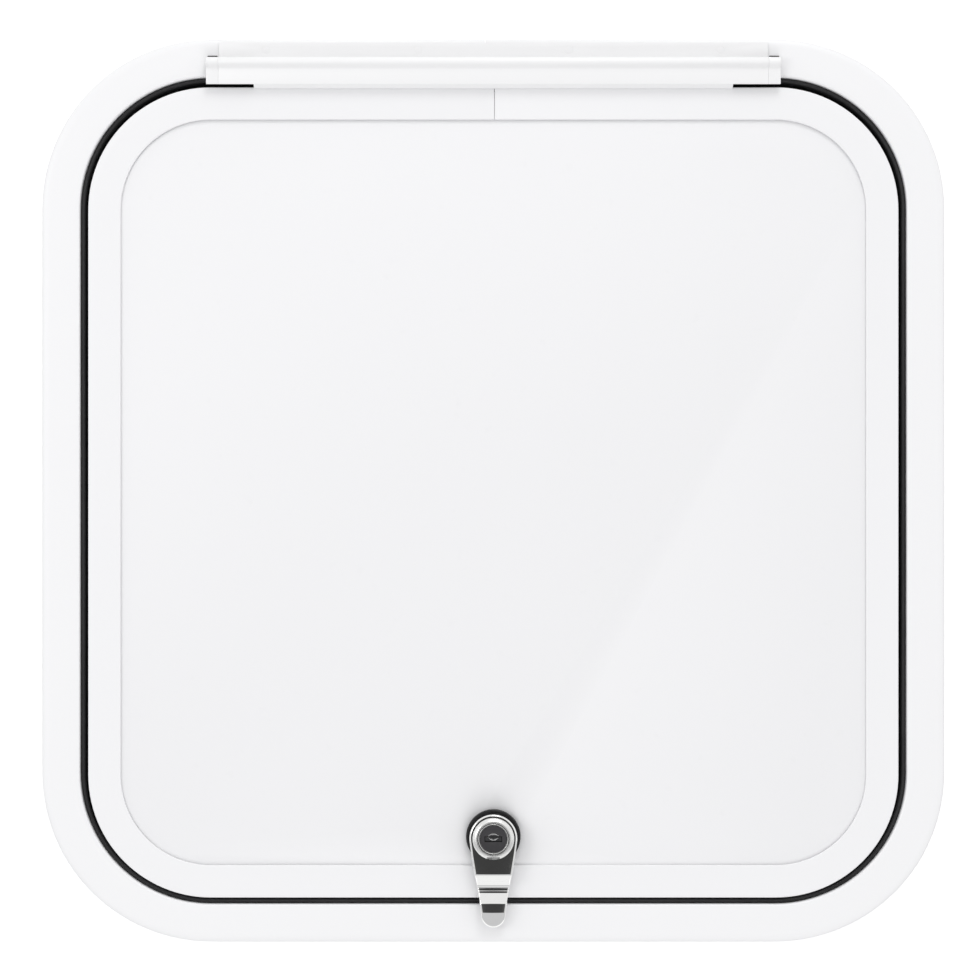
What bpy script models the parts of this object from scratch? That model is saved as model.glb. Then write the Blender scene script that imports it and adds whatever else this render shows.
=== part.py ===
"""A radius-corner deck hatch: a bent aluminium frame clamped through a deck, a sandwich door on a
hooked full-width hinge, and a turning lever latch with a key lock. Metres, +Z up, hinge at +Y."""

import math

import bmesh
import bpy
from mathutils import Matrix, Vector

# Driving plan sizes. An inset is a distance in from the outer edge of the flange (or its line).
SIZE = 0.406
CORNER_R = 0.076
CORNER_STEPS = 8
GAP = 0.0003
DOOR_DROP = 0.0008  # the door hangs this far from centre, away from the hinge
PAST = 0.001  # how far a cutter runs past the face it starts from
THROUGH = 0.004  # how deep a drill or a countersink runs from that face

# Heights are from the top face of the flange, which is FACE_Z above the underside of the part.
FACE_Z = 0.0279

# Frame extrusion
FLANGE_W = 0.0170
FLANGE_T = 0.0016
EDGE_R = 0.0012
EDGE_LIP = (0.0014, -0.0026)  # width and lowest point of the turned-down outer edge
NECK_T = 0.0015
NECK_END = -0.0260
SEAT = (0.00975, -0.0130, -0.0145)  # width, top and underside of the ledge that holds the seal
SEAT_KERB = (0.0008, 0.0006)  # width and height of its upturned inner edge
BOSS = (0.00525, -0.0185)  # width and top of the screw boss
BOSS_SLOT = (0.00135, 0.0026, -0.0197)  # inset from the neck's inner face, width, roof
FRAME_SEAM_X = -0.0036
RIM_SEAM_X = 0.0005
SEAM_W = 0.0003

# Pieces on the frame
GASKET = (0.0017, 0.0152, -0.0019, -0.0030)  # inner and outer inset, top, underside
SPLICE = (0.052, 0.0015, -0.0050, -0.0240)  # length, thickness, top, underside
SPLICE_RIVETS_X = (-0.018, -0.006, 0.006, 0.018)
SPLICE_RIVET_Z = -0.0165
SPLICE_DRILL_R = 0.0015
SMALL_RIVET_HEAD_R = 0.0018
SEAL_STRIP = (0.0079, -0.0127, -0.0116)  # reach from the neck, underside, top
SEAL_FIN = (0.000875, -0.0022)  # radius and top of the fin that stands against the neck
SEAL_BULB = (0.0061, 0.0015, -0.0118)  # distance from the neck, radius, height of its centre
CLAMP = (0.0020, 0.02225, -0.0263, -0.0279)  # outer and inner inset, top, underside
CLAMP_LIP = (0.0014, -0.0245)
CLAMP_SCREW_AT = 0.090
CLAMP_SCREW_INSET = 0.01965
SCREW_HEAD_R = 0.0027
SCREW_CORE_R = 0.0010
SCREW_CONE = (0.0001, 0.0003, 0.0020)  # bottom of the head, its edge, and the cone's end
SCREW_SHANK = (0.0074, 0.0077)  # end of the shank, and its point
CLAMP_SINK = (0.0005, 0.0022)  # edge and end of the countersink in the clamp ring
BASE_DRILL_R = (0.0015, 0.0027)  # holes for the hinge rivets in the flange and in the gasket

# Door
DOOR_INSET = 0.0208
RIM_DEPTH = 0.0100
RIM_WALL = 0.0015
RIM_LIP_END = 0.0354
RIM_LIP_T = 0.0009
RIM_SHOULDER = (0.0254, 0.0015)  # inset and thickness of the thick part of the rim's top
RIM_FOOT_END = 0.0300
RIM_EDGE_R = 0.0008
RIM_BEVEL = 0.0003
JOINT_KEY = (0.0300, 0.0024, -0.0080, -0.0019)  # length, thickness, underside, top
PANEL_INSET = 0.0257
SKIN_TOP = (-0.0012, -0.0021)
CORE = (-0.0024, -0.0071)
SKIN_UNDER = (-0.0074, -0.0082)

# Hinge. Its axis is AXIS_INSET in and AXIS_H up.
AXIS_INSET = 0.0108
AXIS_H = 0.0034
BEAD_R = 0.0012
CURL = (0.0015, 0.0022)  # inner and outer radius
CURL_ARC = (-18, 165)  # degrees from straight inward, turning upward
NECK_DIR = -48  # degrees, the way the bead's neck runs down to its base
HINGE_NECK_T = 0.0010
LEAF_BASE = (0.0150, 0.0003, 0.00135)  # end inset, underside, top
LEAF_STRIP = (0.0016, 0.0009)  # outer inset and top of the thin strip behind the bead
LEAF_PLATE = (0.0207, 0.0026, 0.0038)
LEAF_LENGTH = 0.2466
SHOULDER_LENGTH = 0.2150
SHOULDER = (0.0223, 0.0009)  # inset and height of its thin edge
WEB = (0.0202, 0.0213, -0.0062)
WEB_BEVEL = 0.0008
CAP_LENGTH = 0.0052
HINGE_RIVETS_X = (-0.102, -0.034, 0.034, 0.102)
HINGE_RIVET_Z = -0.0042
BASE_RIVET_INSET = 0.0050
STRIP_SINK = (0.0021, 0.0015, 0.0006)  # mouth radius, core radius, depth of the cone
WEB_SINK = (0.0025, 0.0014, 0.0011)
WEB_SINK_IN = 0.0001  # how far inside the web's face the rivet's head lies
WEB_RIVET = (0.0020, 0.0011)  # head and shank radius

# Latch. Radii and heights of its turned pieces.
LATCH_INSET = 0.0476
PANEL_HOLE_R = 0.0097
BASE_R = 0.01225
BASE_H = (0.0002, 0.0020)
BASE_BEVEL = 0.0005
BASE_GASKET_TOP = -0.0001
BARREL_R = 0.0093
BARREL_BORE_R = 0.0073
BARREL_END = -0.0140
HOUSING_WASHER = (0.0122, 0.0011)  # outer radius, thickness
HOUSING_NUT = (0.0240, -0.0130, -0.0099)  # across flats, underside, top
SPINDLE_R = 0.0070
SPINDLE_BORE_R = 0.0059
SPINDLE_TOP = 0.0080
SPINDLE_FLOOR = -0.0075
SPINDLE_END = -0.0145
GROOVE = (0.0057, -0.0132, -0.0114)  # radius, underside and top of the seal's groove
O_RING = (0.00655, 0.00052)  # ring radius, cord radius
LEVER_HEAD_R = 0.0107
LEVER_H = (0.0023, 0.0083)
LEVER_T = 0.0024
LEVER_REACH = (-0.0118, 0.0408)  # from one end of the lever to the other, past its axis
LEVER_STEPS = 34
LEVER_CLEAR = 0.0010  # how much wider than its head the uncut block is, on each side
LEVER_KEYS = (  # distance from the axis, height of the top: flat, dip, crest, tip
    (-0.0120, 0.0083), (0.0165, 0.0083), (0.0222, 0.0046), (0.0300, 0.0066),
    (0.0334, 0.0066), (0.0410, 0.0050),
)
LEVER_WIDTHS = ((0.0075, 0.0098), (0.0169, 0.00825), (0.0264, 0.00655), (0.0339, 0.00545))
LEVER_TIP = (0.0054, 0.0348)  # radius, distance from the axis
LEVER_PLAN_TOP = 0.0120
SLEEVE_R = (0.0048, 0.0056)
SLEEVE_END = -0.0063
BEZEL_R = (0.0064, 0.0067, 0.0095)
BEZEL_H = (0.0086, 0.0090, 0.0102)
PLUG_HEAD = (0.0061, 0.0091, 0.0097)
PLUG_R = 0.0045
PLUG_END = -0.0063
PLUG_TAIL = (0.0033, -0.0072)
PIN_R = 0.0007
PIN_THROW = 0.0020
PIN_END = -0.0093
KEYWAY = (0.0079, 0.0025, 0.0068)  # mouth length, mouth width, height of the mouth's floor
KEY_SLOT = (0.0068, 0.0016, -0.0050)
WAFER = (0.0080, 0.0040, 0.0005)
WAFER_WINDOW = (0.0058, 0.0022)
WAFER_H = (0.0050, 0.0026, 0.0002, -0.0022)
WAFER_CORNER = 0.0006
CLIP_T = 0.0007
SHUTTER_T = 0.0005
BOLT = (0.0054, -0.0096, -0.0078)  # width, underside, top
BOLT_X = (-0.0042, 0.0064)
BOLT_PLAY = 0.0005  # between the pin and each side of the bolt's notch
SLOT_PLAY = 0.0006  # behind the bolt, in the spindle
CAM_H = (-0.0170, -0.0150)
CAM_REACH = 0.0280
CAM_WIDTH = 0.0140
CAM_HUB_R = 0.0080
SHANK_HALF = 0.0035
THREAD_R = 0.0028
THREAD_END = -0.0222
CAM_WASHER = (0.0062, 0.0012)  # outer radius, thickness
CAM_NUT = (0.0110, 0.0032)  # across flats, height

TURN_STEPS = 24

for old in list(bpy.data.objects):
    bpy.data.objects.remove(old)


def material(name, colour, roughness, metallic):
    """A plain finish: colour in linear RGB."""
    made = bpy.data.materials.new(name)
    made.use_nodes = True
    finish = made.node_tree.nodes["Principled BSDF"]
    finish.inputs["Base Color"].default_value = (*colour, 1)
    finish.inputs["Roughness"].default_value = roughness
    finish.inputs["Metallic"].default_value = metallic
    return made


WHITE = material("white_powder_coat", (0.84, 0.84, 0.85), 0.42, 0.0)
PANEL = material("white_panel", (0.82, 0.82, 0.84), 0.50, 0.0)
FOAM = material("panel_foam", (0.72, 0.66, 0.45), 0.90, 0.0)
RUBBER = material("black_rubber", (0.022, 0.022, 0.024), 0.62, 0.0)
TAPE = material("foam_tape", (0.09, 0.09, 0.10), 0.88, 0.0)
STAINLESS = material("polished_stainless", (0.62, 0.61, 0.59), 0.16, 1.0)
SATIN = material("satin_chrome", (0.66, 0.66, 0.66), 0.32, 1.0)
BLACK = material("black_housing", (0.030, 0.030, 0.032), 0.38, 0.0)
PLUG = material("black_plug", (0.045, 0.043, 0.048), 0.34, 0.0)
ZINC = material("zinc_plated_steel", (0.56, 0.57, 0.60), 0.34, 1.0)
BRASS = material("wafer_brass", (0.72, 0.52, 0.22), 0.32, 1.0)
ALUMINIUM = material("rivet_aluminium", (0.72, 0.72, 0.73), 0.36, 1.0)


def pivot(name, position, parent=None):
    """An empty that a moving body's pieces hang from, at a point given in world coordinates."""
    made = bpy.data.objects.new(name, None)
    bpy.context.scene.collection.objects.link(made)
    made["at"] = position
    made.parent = parent
    made.location = Vector(position) - (Vector(parent["at"]) if parent else Vector())
    return made


def hang(obj, body):
    """Puts an object made in world coordinates under its body, with its origin on the joint's axis."""
    if body:
        obj.data.transform(Matrix.Translation(-Vector(body["at"])))
        obj.parent = body
    return obj


def finish_mesh(name, mesh, finish, body=None):
    """Turns a bmesh into a node: one closed solid with faces out, rounded faces shaded smooth."""
    bmesh.ops.remove_doubles(mesh, verts=mesh.verts, dist=1e-6)
    bmesh.ops.recalc_face_normals(mesh, faces=mesh.faces)
    data = bpy.data.meshes.new(name)
    mesh.to_mesh(data)
    mesh.free()
    data.materials.append(finish)
    data.shade_smooth()
    data.set_sharp_from_angle(angle=math.radians(32))
    obj = bpy.data.objects.new(name, data)
    bpy.context.scene.collection.objects.link(obj)
    return hang(obj, body)


def arc(centre, radius, start, end, steps):
    """Points on a circle in a section, by angle in degrees."""
    turns = [math.radians(start + (end - start) * i / steps) for i in range(steps + 1)]
    return [(centre[0] + radius * math.cos(a), centre[1] + radius * math.sin(a)) for a in turns]


def box_section(near, far, low, high):
    return [(near, low), (far, low), (far, high), (near, high)]


def stations(seam_x):
    """Where a section stands round the radius-corner square: a centre and a direction for each."""
    reach = SIZE / 2 - CORNER_R
    found = []
    for quarter, (sx, sy) in enumerate(((-1, 1), (-1, -1), (1, -1), (1, 1))):
        for i in range(CORNER_STEPS + 1):
            angle = math.radians(90 * (quarter + 1) + 90 * i / CORNER_STEPS)
            found.append((sx * reach, sy * reach, angle))
    if seam_x is not None:
        up = math.radians(90)
        found.insert(0, (seam_x - SEAM_W / 2, reach, up))
        found.append((seam_x + SEAM_W / 2, reach, up))
    return found


def ring(name, section, finish, body=None, drop=0.0, seam_x=None):
    """Runs a closed section of (inset, height) points round the hatch, with a butt seam if given."""
    mesh = bmesh.new()
    loops = []
    for cx, cy, angle in stations(seam_x):
        loop = []
        for inset, height in section:
            r = CORNER_R - inset
            x, y = cx + r * math.cos(angle), cy + r * math.sin(angle) - drop
            loop.append(mesh.verts.new((x, y, FACE_Z + height)))
        loops.append(loop)
    after = loops[1:] + ([] if seam_x is not None else loops[:1])
    for first, second in zip(loops, after):
        for i in range(len(section)):
            j = (i + 1) % len(section)
            mesh.faces.new((first[i], first[j], second[j], second[i]))
    if seam_x is not None:
        mesh.faces.new(loops[0])
        mesh.faces.new(loops[-1])
    return finish_mesh(name, mesh, finish, body)


def sheet(name, inset, low, high, finish, body=None, drop=0.0):
    """A flat radius-corner plate."""
    mesh = bmesh.new()
    r = CORNER_R - inset
    outline = [
        mesh.verts.new((cx + r * math.cos(a), cy + r * math.sin(a) - drop, FACE_Z + low))
        for cx, cy, a in stations(None)
    ]
    return extrude_up(name, mesh, mesh.faces.new(outline), high - low, finish, body)


def extrude_up(name, mesh, face, rise, finish, body=None, direction=(0, 0, 1)):
    """Extrudes one face of a bmesh straight along a direction and makes the solid."""
    made = bmesh.ops.extrude_face_region(mesh, geom=[face], use_keep_orig=True)["geom"]
    tops = [g for g in made if isinstance(g, bmesh.types.BMVert)]
    bmesh.ops.translate(mesh, verts=tops, vec=Vector(direction) * rise)
    return finish_mesh(name, mesh, finish, body)


def bar(name, section, x0, x1, finish, body=None):
    """Extrudes a section of (inset, height) points along X on the hinge side."""
    mesh = bmesh.new()
    outline = [mesh.verts.new((x0, SIZE / 2 - inset, FACE_Z + h)) for inset, h in section]
    return extrude_up(name, mesh, mesh.faces.new(outline), x1 - x0, finish, body, (1, 0, 0))


def plate(name, outline, low, high, finish, body=None):
    """Extrudes a plan outline of world (x, y) points up between two heights."""
    mesh = bmesh.new()
    face = mesh.faces.new([mesh.verts.new((x, y, FACE_Z + low)) for x, y in outline])
    return extrude_up(name, mesh, face, high - low, finish, body)


def turned(name, profile, centre, finish, body=None, axis=(0, 0, 1), steps=TURN_STEPS, closed=False):
    """Spins a profile of (radius, distance) points. The distance runs along the axis from centre."""
    mesh = bmesh.new()
    points = [mesh.verts.new((r, 0, h)) for r, h in profile]
    pairs = list(zip(points, points[1:] + (points[:1] if closed else [])))
    edges = [mesh.edges.new(pair) for pair in pairs if pair[0] is not pair[1]]
    bmesh.ops.spin(
        mesh, geom=points + edges, cent=(0, 0, 0), axis=(0, 0, 1), angle=2 * math.pi, steps=steps,
        use_merge=True,
    )
    turn = Vector((0, 0, 1)).rotation_difference(Vector(axis)).to_matrix().to_4x4()
    bmesh.ops.transform(mesh, matrix=Matrix.Translation(centre) @ turn, verts=mesh.verts)
    return finish_mesh(name, mesh, finish, body)


def washer(name, inner, outer, low, high, centre, finish, body=None):
    return turned(name, box_section(inner, outer, low, high), centre, finish, body, closed=True)


def boolean(target, cutter, operation="DIFFERENCE"):
    """Cuts a target with another object, which then only shows as a wire guide."""
    cutter.hide_render = True
    cutter.display_type = "WIRE"
    modifier = target.modifiers.new(cutter.name, "BOOLEAN")
    modifier.object = cutter
    modifier.operation = operation
    modifier.solver = "EXACT"


def drill(target, name, profile, centre, axis=(0, 0, 1), steps=16):
    boolean(target, turned(name, profile, centre, ALUMINIUM, axis=axis, steps=steps))


def slot(target, name, x, y, heights, turn=0.0, centre=(0, 0)):
    """Cuts a straight-sided pocket: x and y are its (low, high) limits about centre."""
    corners = [Vector((a, b)) for a, b in ((x[0], y[0]), (x[1], y[0]), (x[1], y[1]), (x[0], y[1]))]
    spin = Matrix.Rotation(turn, 2)
    outline = [tuple(Vector(centre) + spin @ corner) for corner in corners]
    boolean(target, plate(name, outline, *heights, ALUMINIUM))


def hexagon(centre, across, steps=6):
    radius = across / 2 / math.cos(math.pi / steps)
    return arc(centre, radius, 0, 360 - 360 / steps, steps - 1)


def straight(radius, low, high):
    """The profile of a plain pin or drill."""
    return [(0, low), (radius, low), (radius, high), (0, high)]


def countersink(mouth, core, depth):
    """The profile of a countersunk hole, from the face it is cut in."""
    return [(0, -PAST), (mouth, -PAST), (mouth, 0), (core, depth), (core, THROUGH), (0, THROUGH)]


def rivet(name, grip, centre, axis, body, head=SMALL_RIVET_HEAD_R, shank=0.0012, flush=False):
    """A rivet whose head is at its start: grip is how far apart its head and tail stand."""
    dome = head * 0.36
    tail = [(head, grip), (head * 0.7, grip + dome), (0, grip + dome * 1.2)]
    if flush:
        top = [(0, 0), (head, 0), (shank, head - shank)]
    else:
        top = [(0, -dome * 1.2), (head * 0.7, -dome), (head, 0), (shank, 0)]
    return turned(name, top + [(shank, grip)] + tail, centre, ALUMINIUM, body, axis, steps=12)


latch_y = -(SIZE / 2 - LATCH_INSET)
latch_at = (0, latch_y, FACE_Z)
door_body = pivot("door_pivot", (0, SIZE / 2 - AXIS_INSET, FACE_Z + AXIS_H))
lever_body = pivot("lever_pivot", latch_at, door_body)
plug_body = pivot("key_pivot", latch_at, lever_body)
bolt_body = pivot("bolt_pivot", latch_at, lever_body)
shutter_axis = (0, latch_y + KEYWAY[1] / 2 - GAP, FACE_Z + PLUG_HEAD[2] - GAP)
shutter_body = pivot("shutter_pivot", shutter_axis, plug_body)


def frame_section():
    inner, outer = FLANGE_W, FLANGE_W - NECK_T
    seat_end, boss_end = inner + SEAT[0], inner + BOSS[0]
    slot_near = inner + BOSS_SLOT[0]
    slot_far = slot_near + BOSS_SLOT[1]
    flange = [(0, EDGE_LIP[1])] + arc((EDGE_R, -EDGE_R), EDGE_R, 180, 90, 3)
    flange += arc((inner - EDGE_R, -EDGE_R), EDGE_R, 90, 0, 3)
    kerb = seat_end - SEAT_KERB[0]
    seat = [(inner, SEAT[1]), (kerb, SEAT[1]), (kerb, SEAT[1] + SEAT_KERB[1])]
    seat += [(seat_end, SEAT[1] + SEAT_KERB[1]), (seat_end, SEAT[2]), (inner, SEAT[2])]
    boss = [(inner, BOSS[1]), (boss_end, BOSS[1]), (boss_end, NECK_END), (slot_far, NECK_END)]
    boss += [(slot_far, BOSS_SLOT[2]), (slot_near, BOSS_SLOT[2]), (slot_near, NECK_END)]
    back = [(outer, NECK_END), (outer, -FLANGE_T), (EDGE_LIP[0], -FLANGE_T)]
    return flange + seat + boss + back + [(EDGE_LIP[0], EDGE_LIP[1])]


def make_frame():
    """The frame extrusion, its splice, the gasket under its flange and the seal on its ledge."""
    frame = ring("outer_frame", frame_section(), WHITE, seam_x=FRAME_SEAM_X)
    tape = ring("deck_gasket", box_section(GASKET[0], GASKET[1], GASKET[3], GASKET[2]), TAPE)
    plate_far = FLANGE_W - NECK_T - GAP
    x0 = FRAME_SEAM_X - SPLICE[0] / 2
    splice_section = box_section(plate_far - SPLICE[1], plate_far, SPLICE[3], SPLICE[2])
    splice = bar("frame_splice_plate", splice_section, x0, x0 + SPLICE[0], ALUMINIUM)
    for i, dx in enumerate(SPLICE_RIVETS_X):
        at = (FRAME_SEAM_X + dx, SIZE / 2 - FLANGE_W - GAP, FACE_Z + SPLICE_RIVET_Z)
        grip = NECK_T + SPLICE[1] + 3 * GAP
        for target in (frame, splice):
            hole = straight(SPLICE_DRILL_R, -PAST, grip + PAST)
            drill(target, f"{target.name}_splice_drill_{i + 1}", hole, at, (0, 1, 0), 12)
        rivet(f"splice_rivet_{i + 1}", grip, at, (0, 1, 0), None)
    for i, x in enumerate(HINGE_RIVETS_X):
        at = (x, SIZE / 2 - BASE_RIVET_INSET, FACE_Z)
        for target, radius in zip((frame, tape), BASE_DRILL_R):
            hole = straight(radius, -THROUGH, THROUGH)
            drill(target, f"{target.name}_base_drill_{i + 1}", hole, at, steps=12)


def seal_section():
    """A base strip with a tall fin against the neck and a soft bulb under the door."""
    reach, low, top = SEAL_STRIP
    near, far = FLANGE_W + GAP, FLANGE_W + reach
    fin_r, fin_top = SEAL_FIN
    bulb_out, bulb_r, bulb_h = SEAL_BULB
    bulb_at = (FLANGE_W + bulb_out, bulb_h)
    points = [(near, low), (far, low), (far, top)]
    points += arc(bulb_at, bulb_r, 8, 172, 6)
    points += [(near + 2 * fin_r, top)]
    points += arc((near + fin_r, fin_top - fin_r), fin_r, 0, 180, 4)
    return points


def make_clamp():
    """The ring under the deck and the screws that draw it up to the frame."""
    outer, inner, top, low = CLAMP
    section = [(outer, low), (inner, low), (inner, top), (outer + CLAMP_LIP[0], top)]
    section += [(outer + CLAMP_LIP[0], CLAMP_LIP[1]), (outer, CLAMP_LIP[1])]
    clamp = ring("clamp_ring", section, WHITE)
    line = SIZE / 2 - CLAMP_SCREW_INSET
    a = CLAMP_SCREW_AT
    places = [(a, line), (-a, line), (-line, a), (-line, -a), (-a, -line), (a, -line), (line, -a)]
    head, core = SCREW_HEAD_R, SCREW_CORE_R
    bottom, edge, cone_end = SCREW_CONE
    screw = [(0, bottom), (head, bottom), (head, edge), (core, cone_end)]
    screw += [(core, SCREW_SHANK[0]), (0, SCREW_SHANK[1])]
    sink = [(0, -PAST), (head + GAP, -PAST), (head + GAP, CLAMP_SINK[0])]
    sink += [(core + 2 * GAP, CLAMP_SINK[1]), (core + 2 * GAP, THROUGH), (0, THROUGH)]
    for i, (x, y) in enumerate(places + [(line, a)]):
        at = (x, y, FACE_Z + low)
        drill(clamp, f"clamp_drill_{i + 1}", sink, at)
        turned(f"clamp_ring_screw_{i + 1}", screw, at, ZINC, steps=12)


def make_door():
    """The rim extrusion, the three layers of the panel inside it, and the key across its seam."""
    wall = DOOR_INSET + RIM_WALL
    thick_end, thick = RIM_SHOULDER
    section = arc((DOOR_INSET + RIM_EDGE_R, -RIM_EDGE_R), RIM_EDGE_R, 180, 90, 3)
    section += [(RIM_LIP_END - RIM_BEVEL, 0), (RIM_LIP_END, -RIM_BEVEL), (RIM_LIP_END, -RIM_LIP_T)]
    section += [(thick_end, -RIM_LIP_T), (thick_end, -thick), (wall, -thick)]
    section += [(wall, RIM_WALL - RIM_DEPTH), (RIM_FOOT_END, RIM_WALL - RIM_DEPTH)]
    section += [(RIM_FOOT_END, -RIM_DEPTH), (DOOR_INSET, -RIM_DEPTH)]
    rim = ring("door_rim", section, WHITE, door_body, DOOR_DROP, RIM_SEAM_X)
    layers = (
        ("door_outer_skin", SKIN_TOP, PANEL),
        ("door_core", CORE, FOAM),
        ("door_inner_skin", SKIN_UNDER, PANEL),
    )
    for name, (high, low), finish in layers:
        layer = sheet(name, PANEL_INSET, low, high, finish, door_body, DOOR_DROP)
        drill(layer, f"{name}_drill", straight(PANEL_HOLE_R, low - GAP, high + GAP), latch_at,
              steps=24)
    near = wall + DOOR_DROP + GAP
    length, thickness, low, top = JOINT_KEY
    key = box_section(near, near + thickness, low, top)
    x0 = RIM_SEAM_X - length / 2
    bar("rim_joint_key", key, x0, x0 + length, ALUMINIUM, door_body)
    return rim


def frame_leaf_section():
    """A round bead on a slanting neck, its base, and the thin strip that is riveted down."""
    way = Vector((math.cos(math.radians(NECK_DIR)), math.sin(math.radians(NECK_DIR))))
    side = Vector((-way.y, way.x)) * HINGE_NECK_T / 2
    axis = Vector((AXIS_INSET, AXIS_H))
    end, low, top = LEAF_BASE
    outer, strip_top = LEAF_STRIP
    splay = math.degrees(math.asin(HINGE_NECK_T / 2 / BEAD_R))
    left = axis - side + way * ((axis.y - side.y - strip_top) / -way.y)
    right = axis + side + way * ((axis.y + side.y - top) / -way.y)
    bead = arc(axis, BEAD_R, NECK_DIR + splay, NECK_DIR - splay + 360, 22)
    foot = [tuple(left), (outer, strip_top), (outer, low), (end, low), (end, top), tuple(right)]
    return foot + bead


def door_leaf_section(edge):
    """A curl that hooks over the bead, and the plate that runs from it to the given edge points."""
    axis = (AXIS_INSET, AXIS_H)
    inner, outer = CURL
    first, last = CURL_ARC
    _, low, top = LEAF_PLATE
    lower = math.degrees(math.asin((low - AXIS_H) / outer))
    upper = math.degrees(math.asin((top - AXIS_H) / outer))
    curl = arc(axis, inner, first, last, 14) + arc(axis, outer, last, upper, 14)
    return curl + edge + [(AXIS_INSET + outer * math.cos(math.radians(lower)), low)]


def make_hinge(rim):
    """Two interlocking extrusions, the end caps and the rivets of both leaves."""
    half = LEAF_LENGTH / 2
    leaf = bar("hinge_frame_leaf", frame_leaf_section(), -half, half, WHITE)
    end, low, top = LEAF_PLATE
    plain = [(end, top), (end, low)]
    shoulder = [(end, top), (SHOULDER[0], SHOULDER[1]), (SHOULDER[0], GAP), (WEB[1], GAP)]
    shoulder += [(WEB[1], WEB[2]), (WEB[0], WEB[2])]
    shoulder += [(WEB[0], low - WEB_BEVEL), (WEB[0] - WEB_BEVEL, low)]
    wide = bar("hinge_door_leaf", door_leaf_section(plain), -half, half, WHITE, door_body)
    reach = SHOULDER_LENGTH / 2
    middle = bar("leaf_middle", door_leaf_section(shoulder), -reach, reach, WHITE)
    boolean(wide, middle, "UNION")
    lower = math.degrees(math.asin((low - AXIS_H) / CURL[1]))
    upper = math.degrees(math.asin((top - AXIS_H) / CURL[1]))
    cap = arc((AXIS_INSET, AXIS_H), CURL[1], upper, 360 + lower, 26) + [(end, low), (end, top)]
    for side, word in ((-1, "left"), (1, "right")):
        ends = sorted((side * (half + GAP), side * (half + GAP + CAP_LENGTH)))
        bar(f"hinge_end_cap_{word}", cap, *ends, WHITE, door_body)
    for i, x in enumerate(HINGE_RIVETS_X):
        strip_at = (x, SIZE / 2 - BASE_RIVET_INSET, FACE_Z + LEAF_STRIP[1])
        drill(leaf, f"strip_drill_{i + 1}", countersink(*STRIP_SINK), strip_at, (0, 0, -1), 12)
        grip = LEAF_STRIP[1] + FLANGE_T + GAP
        rivet(f"hinge_frame_rivet_{i + 1}", grip, strip_at, (0, 0, -1), None, flush=True)
        web_at = (x, SIZE / 2 - WEB[0] - WEB_SINK_IN, FACE_Z + HINGE_RIVET_Z)
        grip = DOOR_INSET + DOOR_DROP + RIM_WALL - WEB[0] + GAP
        for target in (wide, rim):
            sink = countersink(*WEB_SINK)
            drill(target, f"{target.name}_web_drill_{i + 1}", sink, web_at, (0, -1, 0))
        rivet(f"hinge_door_rivet_{i + 1}", grip, web_at, (0, -1, 0), door_body, *WEB_RIVET, True)


def make_latch_base():
    """The housing through the panel, with its gasket above and its washer and nut below."""
    skin = SKIN_TOP[0]
    washer("latch_base_gasket", BARREL_R + GAP, BASE_R - GAP, skin + GAP, BASE_GASKET_TOP, latch_at,
           RUBBER, door_body)
    profile = [(BARREL_BORE_R, BARREL_END), (BARREL_R, BARREL_END), (BARREL_R, BASE_H[0])]
    profile += [(BASE_R, BASE_H[0]), (BASE_R, BASE_H[1] - BASE_BEVEL)]
    profile += [(BASE_R - BASE_BEVEL, BASE_H[1])]
    profile += [(BARREL_BORE_R, BASE_H[1])]
    housing = turned("latch_housing", profile, latch_at, BLACK, door_body, closed=True)
    heights = (BOLT[1] - GAP, BOLT[2] + GAP)
    width = BOLT[0] / 2 + GAP
    for quarter in range(2):
        reach = (0, BARREL_R + PAST)
        slot(housing, f"housing_slot_{quarter}", reach, (-width, width), heights,
             math.radians(90 * quarter), (0, latch_y))
    under = SKIN_UNDER[1]
    outer, thickness = HOUSING_WASHER
    washer("housing_lock_washer", BARREL_R + GAP, outer, under - thickness, under - GAP, latch_at,
           ZINC, door_body)
    across, low, top = HOUSING_NUT
    nut = plate("housing_nut", hexagon((0, latch_y), across), low, top, ZINC, door_body)
    hole = straight(BARREL_R + GAP, low - PAST, top + PAST)
    drill(nut, "housing_nut_drill", hole, latch_at, steps=24)


def smooth(a, b, share):
    return a + (b - a) * share * share * (3 - 2 * share)


def lever_height(reach):
    """The top of the lever's arm, at a distance from its axis: flat, a dip, a crest and the tip."""
    for (a, low), (b, high) in zip(LEVER_KEYS, LEVER_KEYS[1:]):
        if reach <= b:
            return smooth(low, high, (reach - a) / (b - a))
    return LEVER_KEYS[-1][1]


def make_lever():
    """The wave-shaped lever: its side view and its plan, each extruded, and what both share."""
    start, end = LEVER_REACH
    reaches = [start + (end - start) * i / LEVER_STEPS for i in range(LEVER_STEPS + 1)]
    floor = [
        max(LEVER_H[0], lever_height(t) - LEVER_T) if t > LEVER_HEAD_R else LEVER_H[0]
        for t in reaches
    ]
    mesh = bmesh.new()
    half = LEVER_HEAD_R + LEVER_CLEAR
    side = [(latch_y - t, lever_height(t)) for t in reaches]
    side += [(latch_y - t, h) for t, h in zip(reversed(reaches), reversed(floor))]
    outline = [mesh.verts.new((-half, y, FACE_Z + h)) for y, h in side]
    face = mesh.faces.new(outline)
    lever = extrude_up("lever_handle", mesh, face, 2 * half, STAINLESS, lever_body, (1, 0, 0))
    tip_r, tip_at = LEVER_TIP
    right = [(w, latch_y - t) for t, w in LEVER_WIDTHS]
    left = [(-x, y) for x, y in reversed(right)]
    tip = arc((0, latch_y - tip_at), tip_r, 0, -180, 12)
    head = arc((0, latch_y), LEVER_HEAD_R, 188, -8, 24)
    plan = plate("lever_plan", head + right + tip + left, 0, LEVER_PLAN_TOP, STAINLESS)
    boolean(lever, plan, "INTERSECT")
    bore = straight(SPINDLE_R + GAP, 0, LEVER_PLAN_TOP)
    drill(lever, "lever_bore", bore, latch_at, steps=24)


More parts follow.
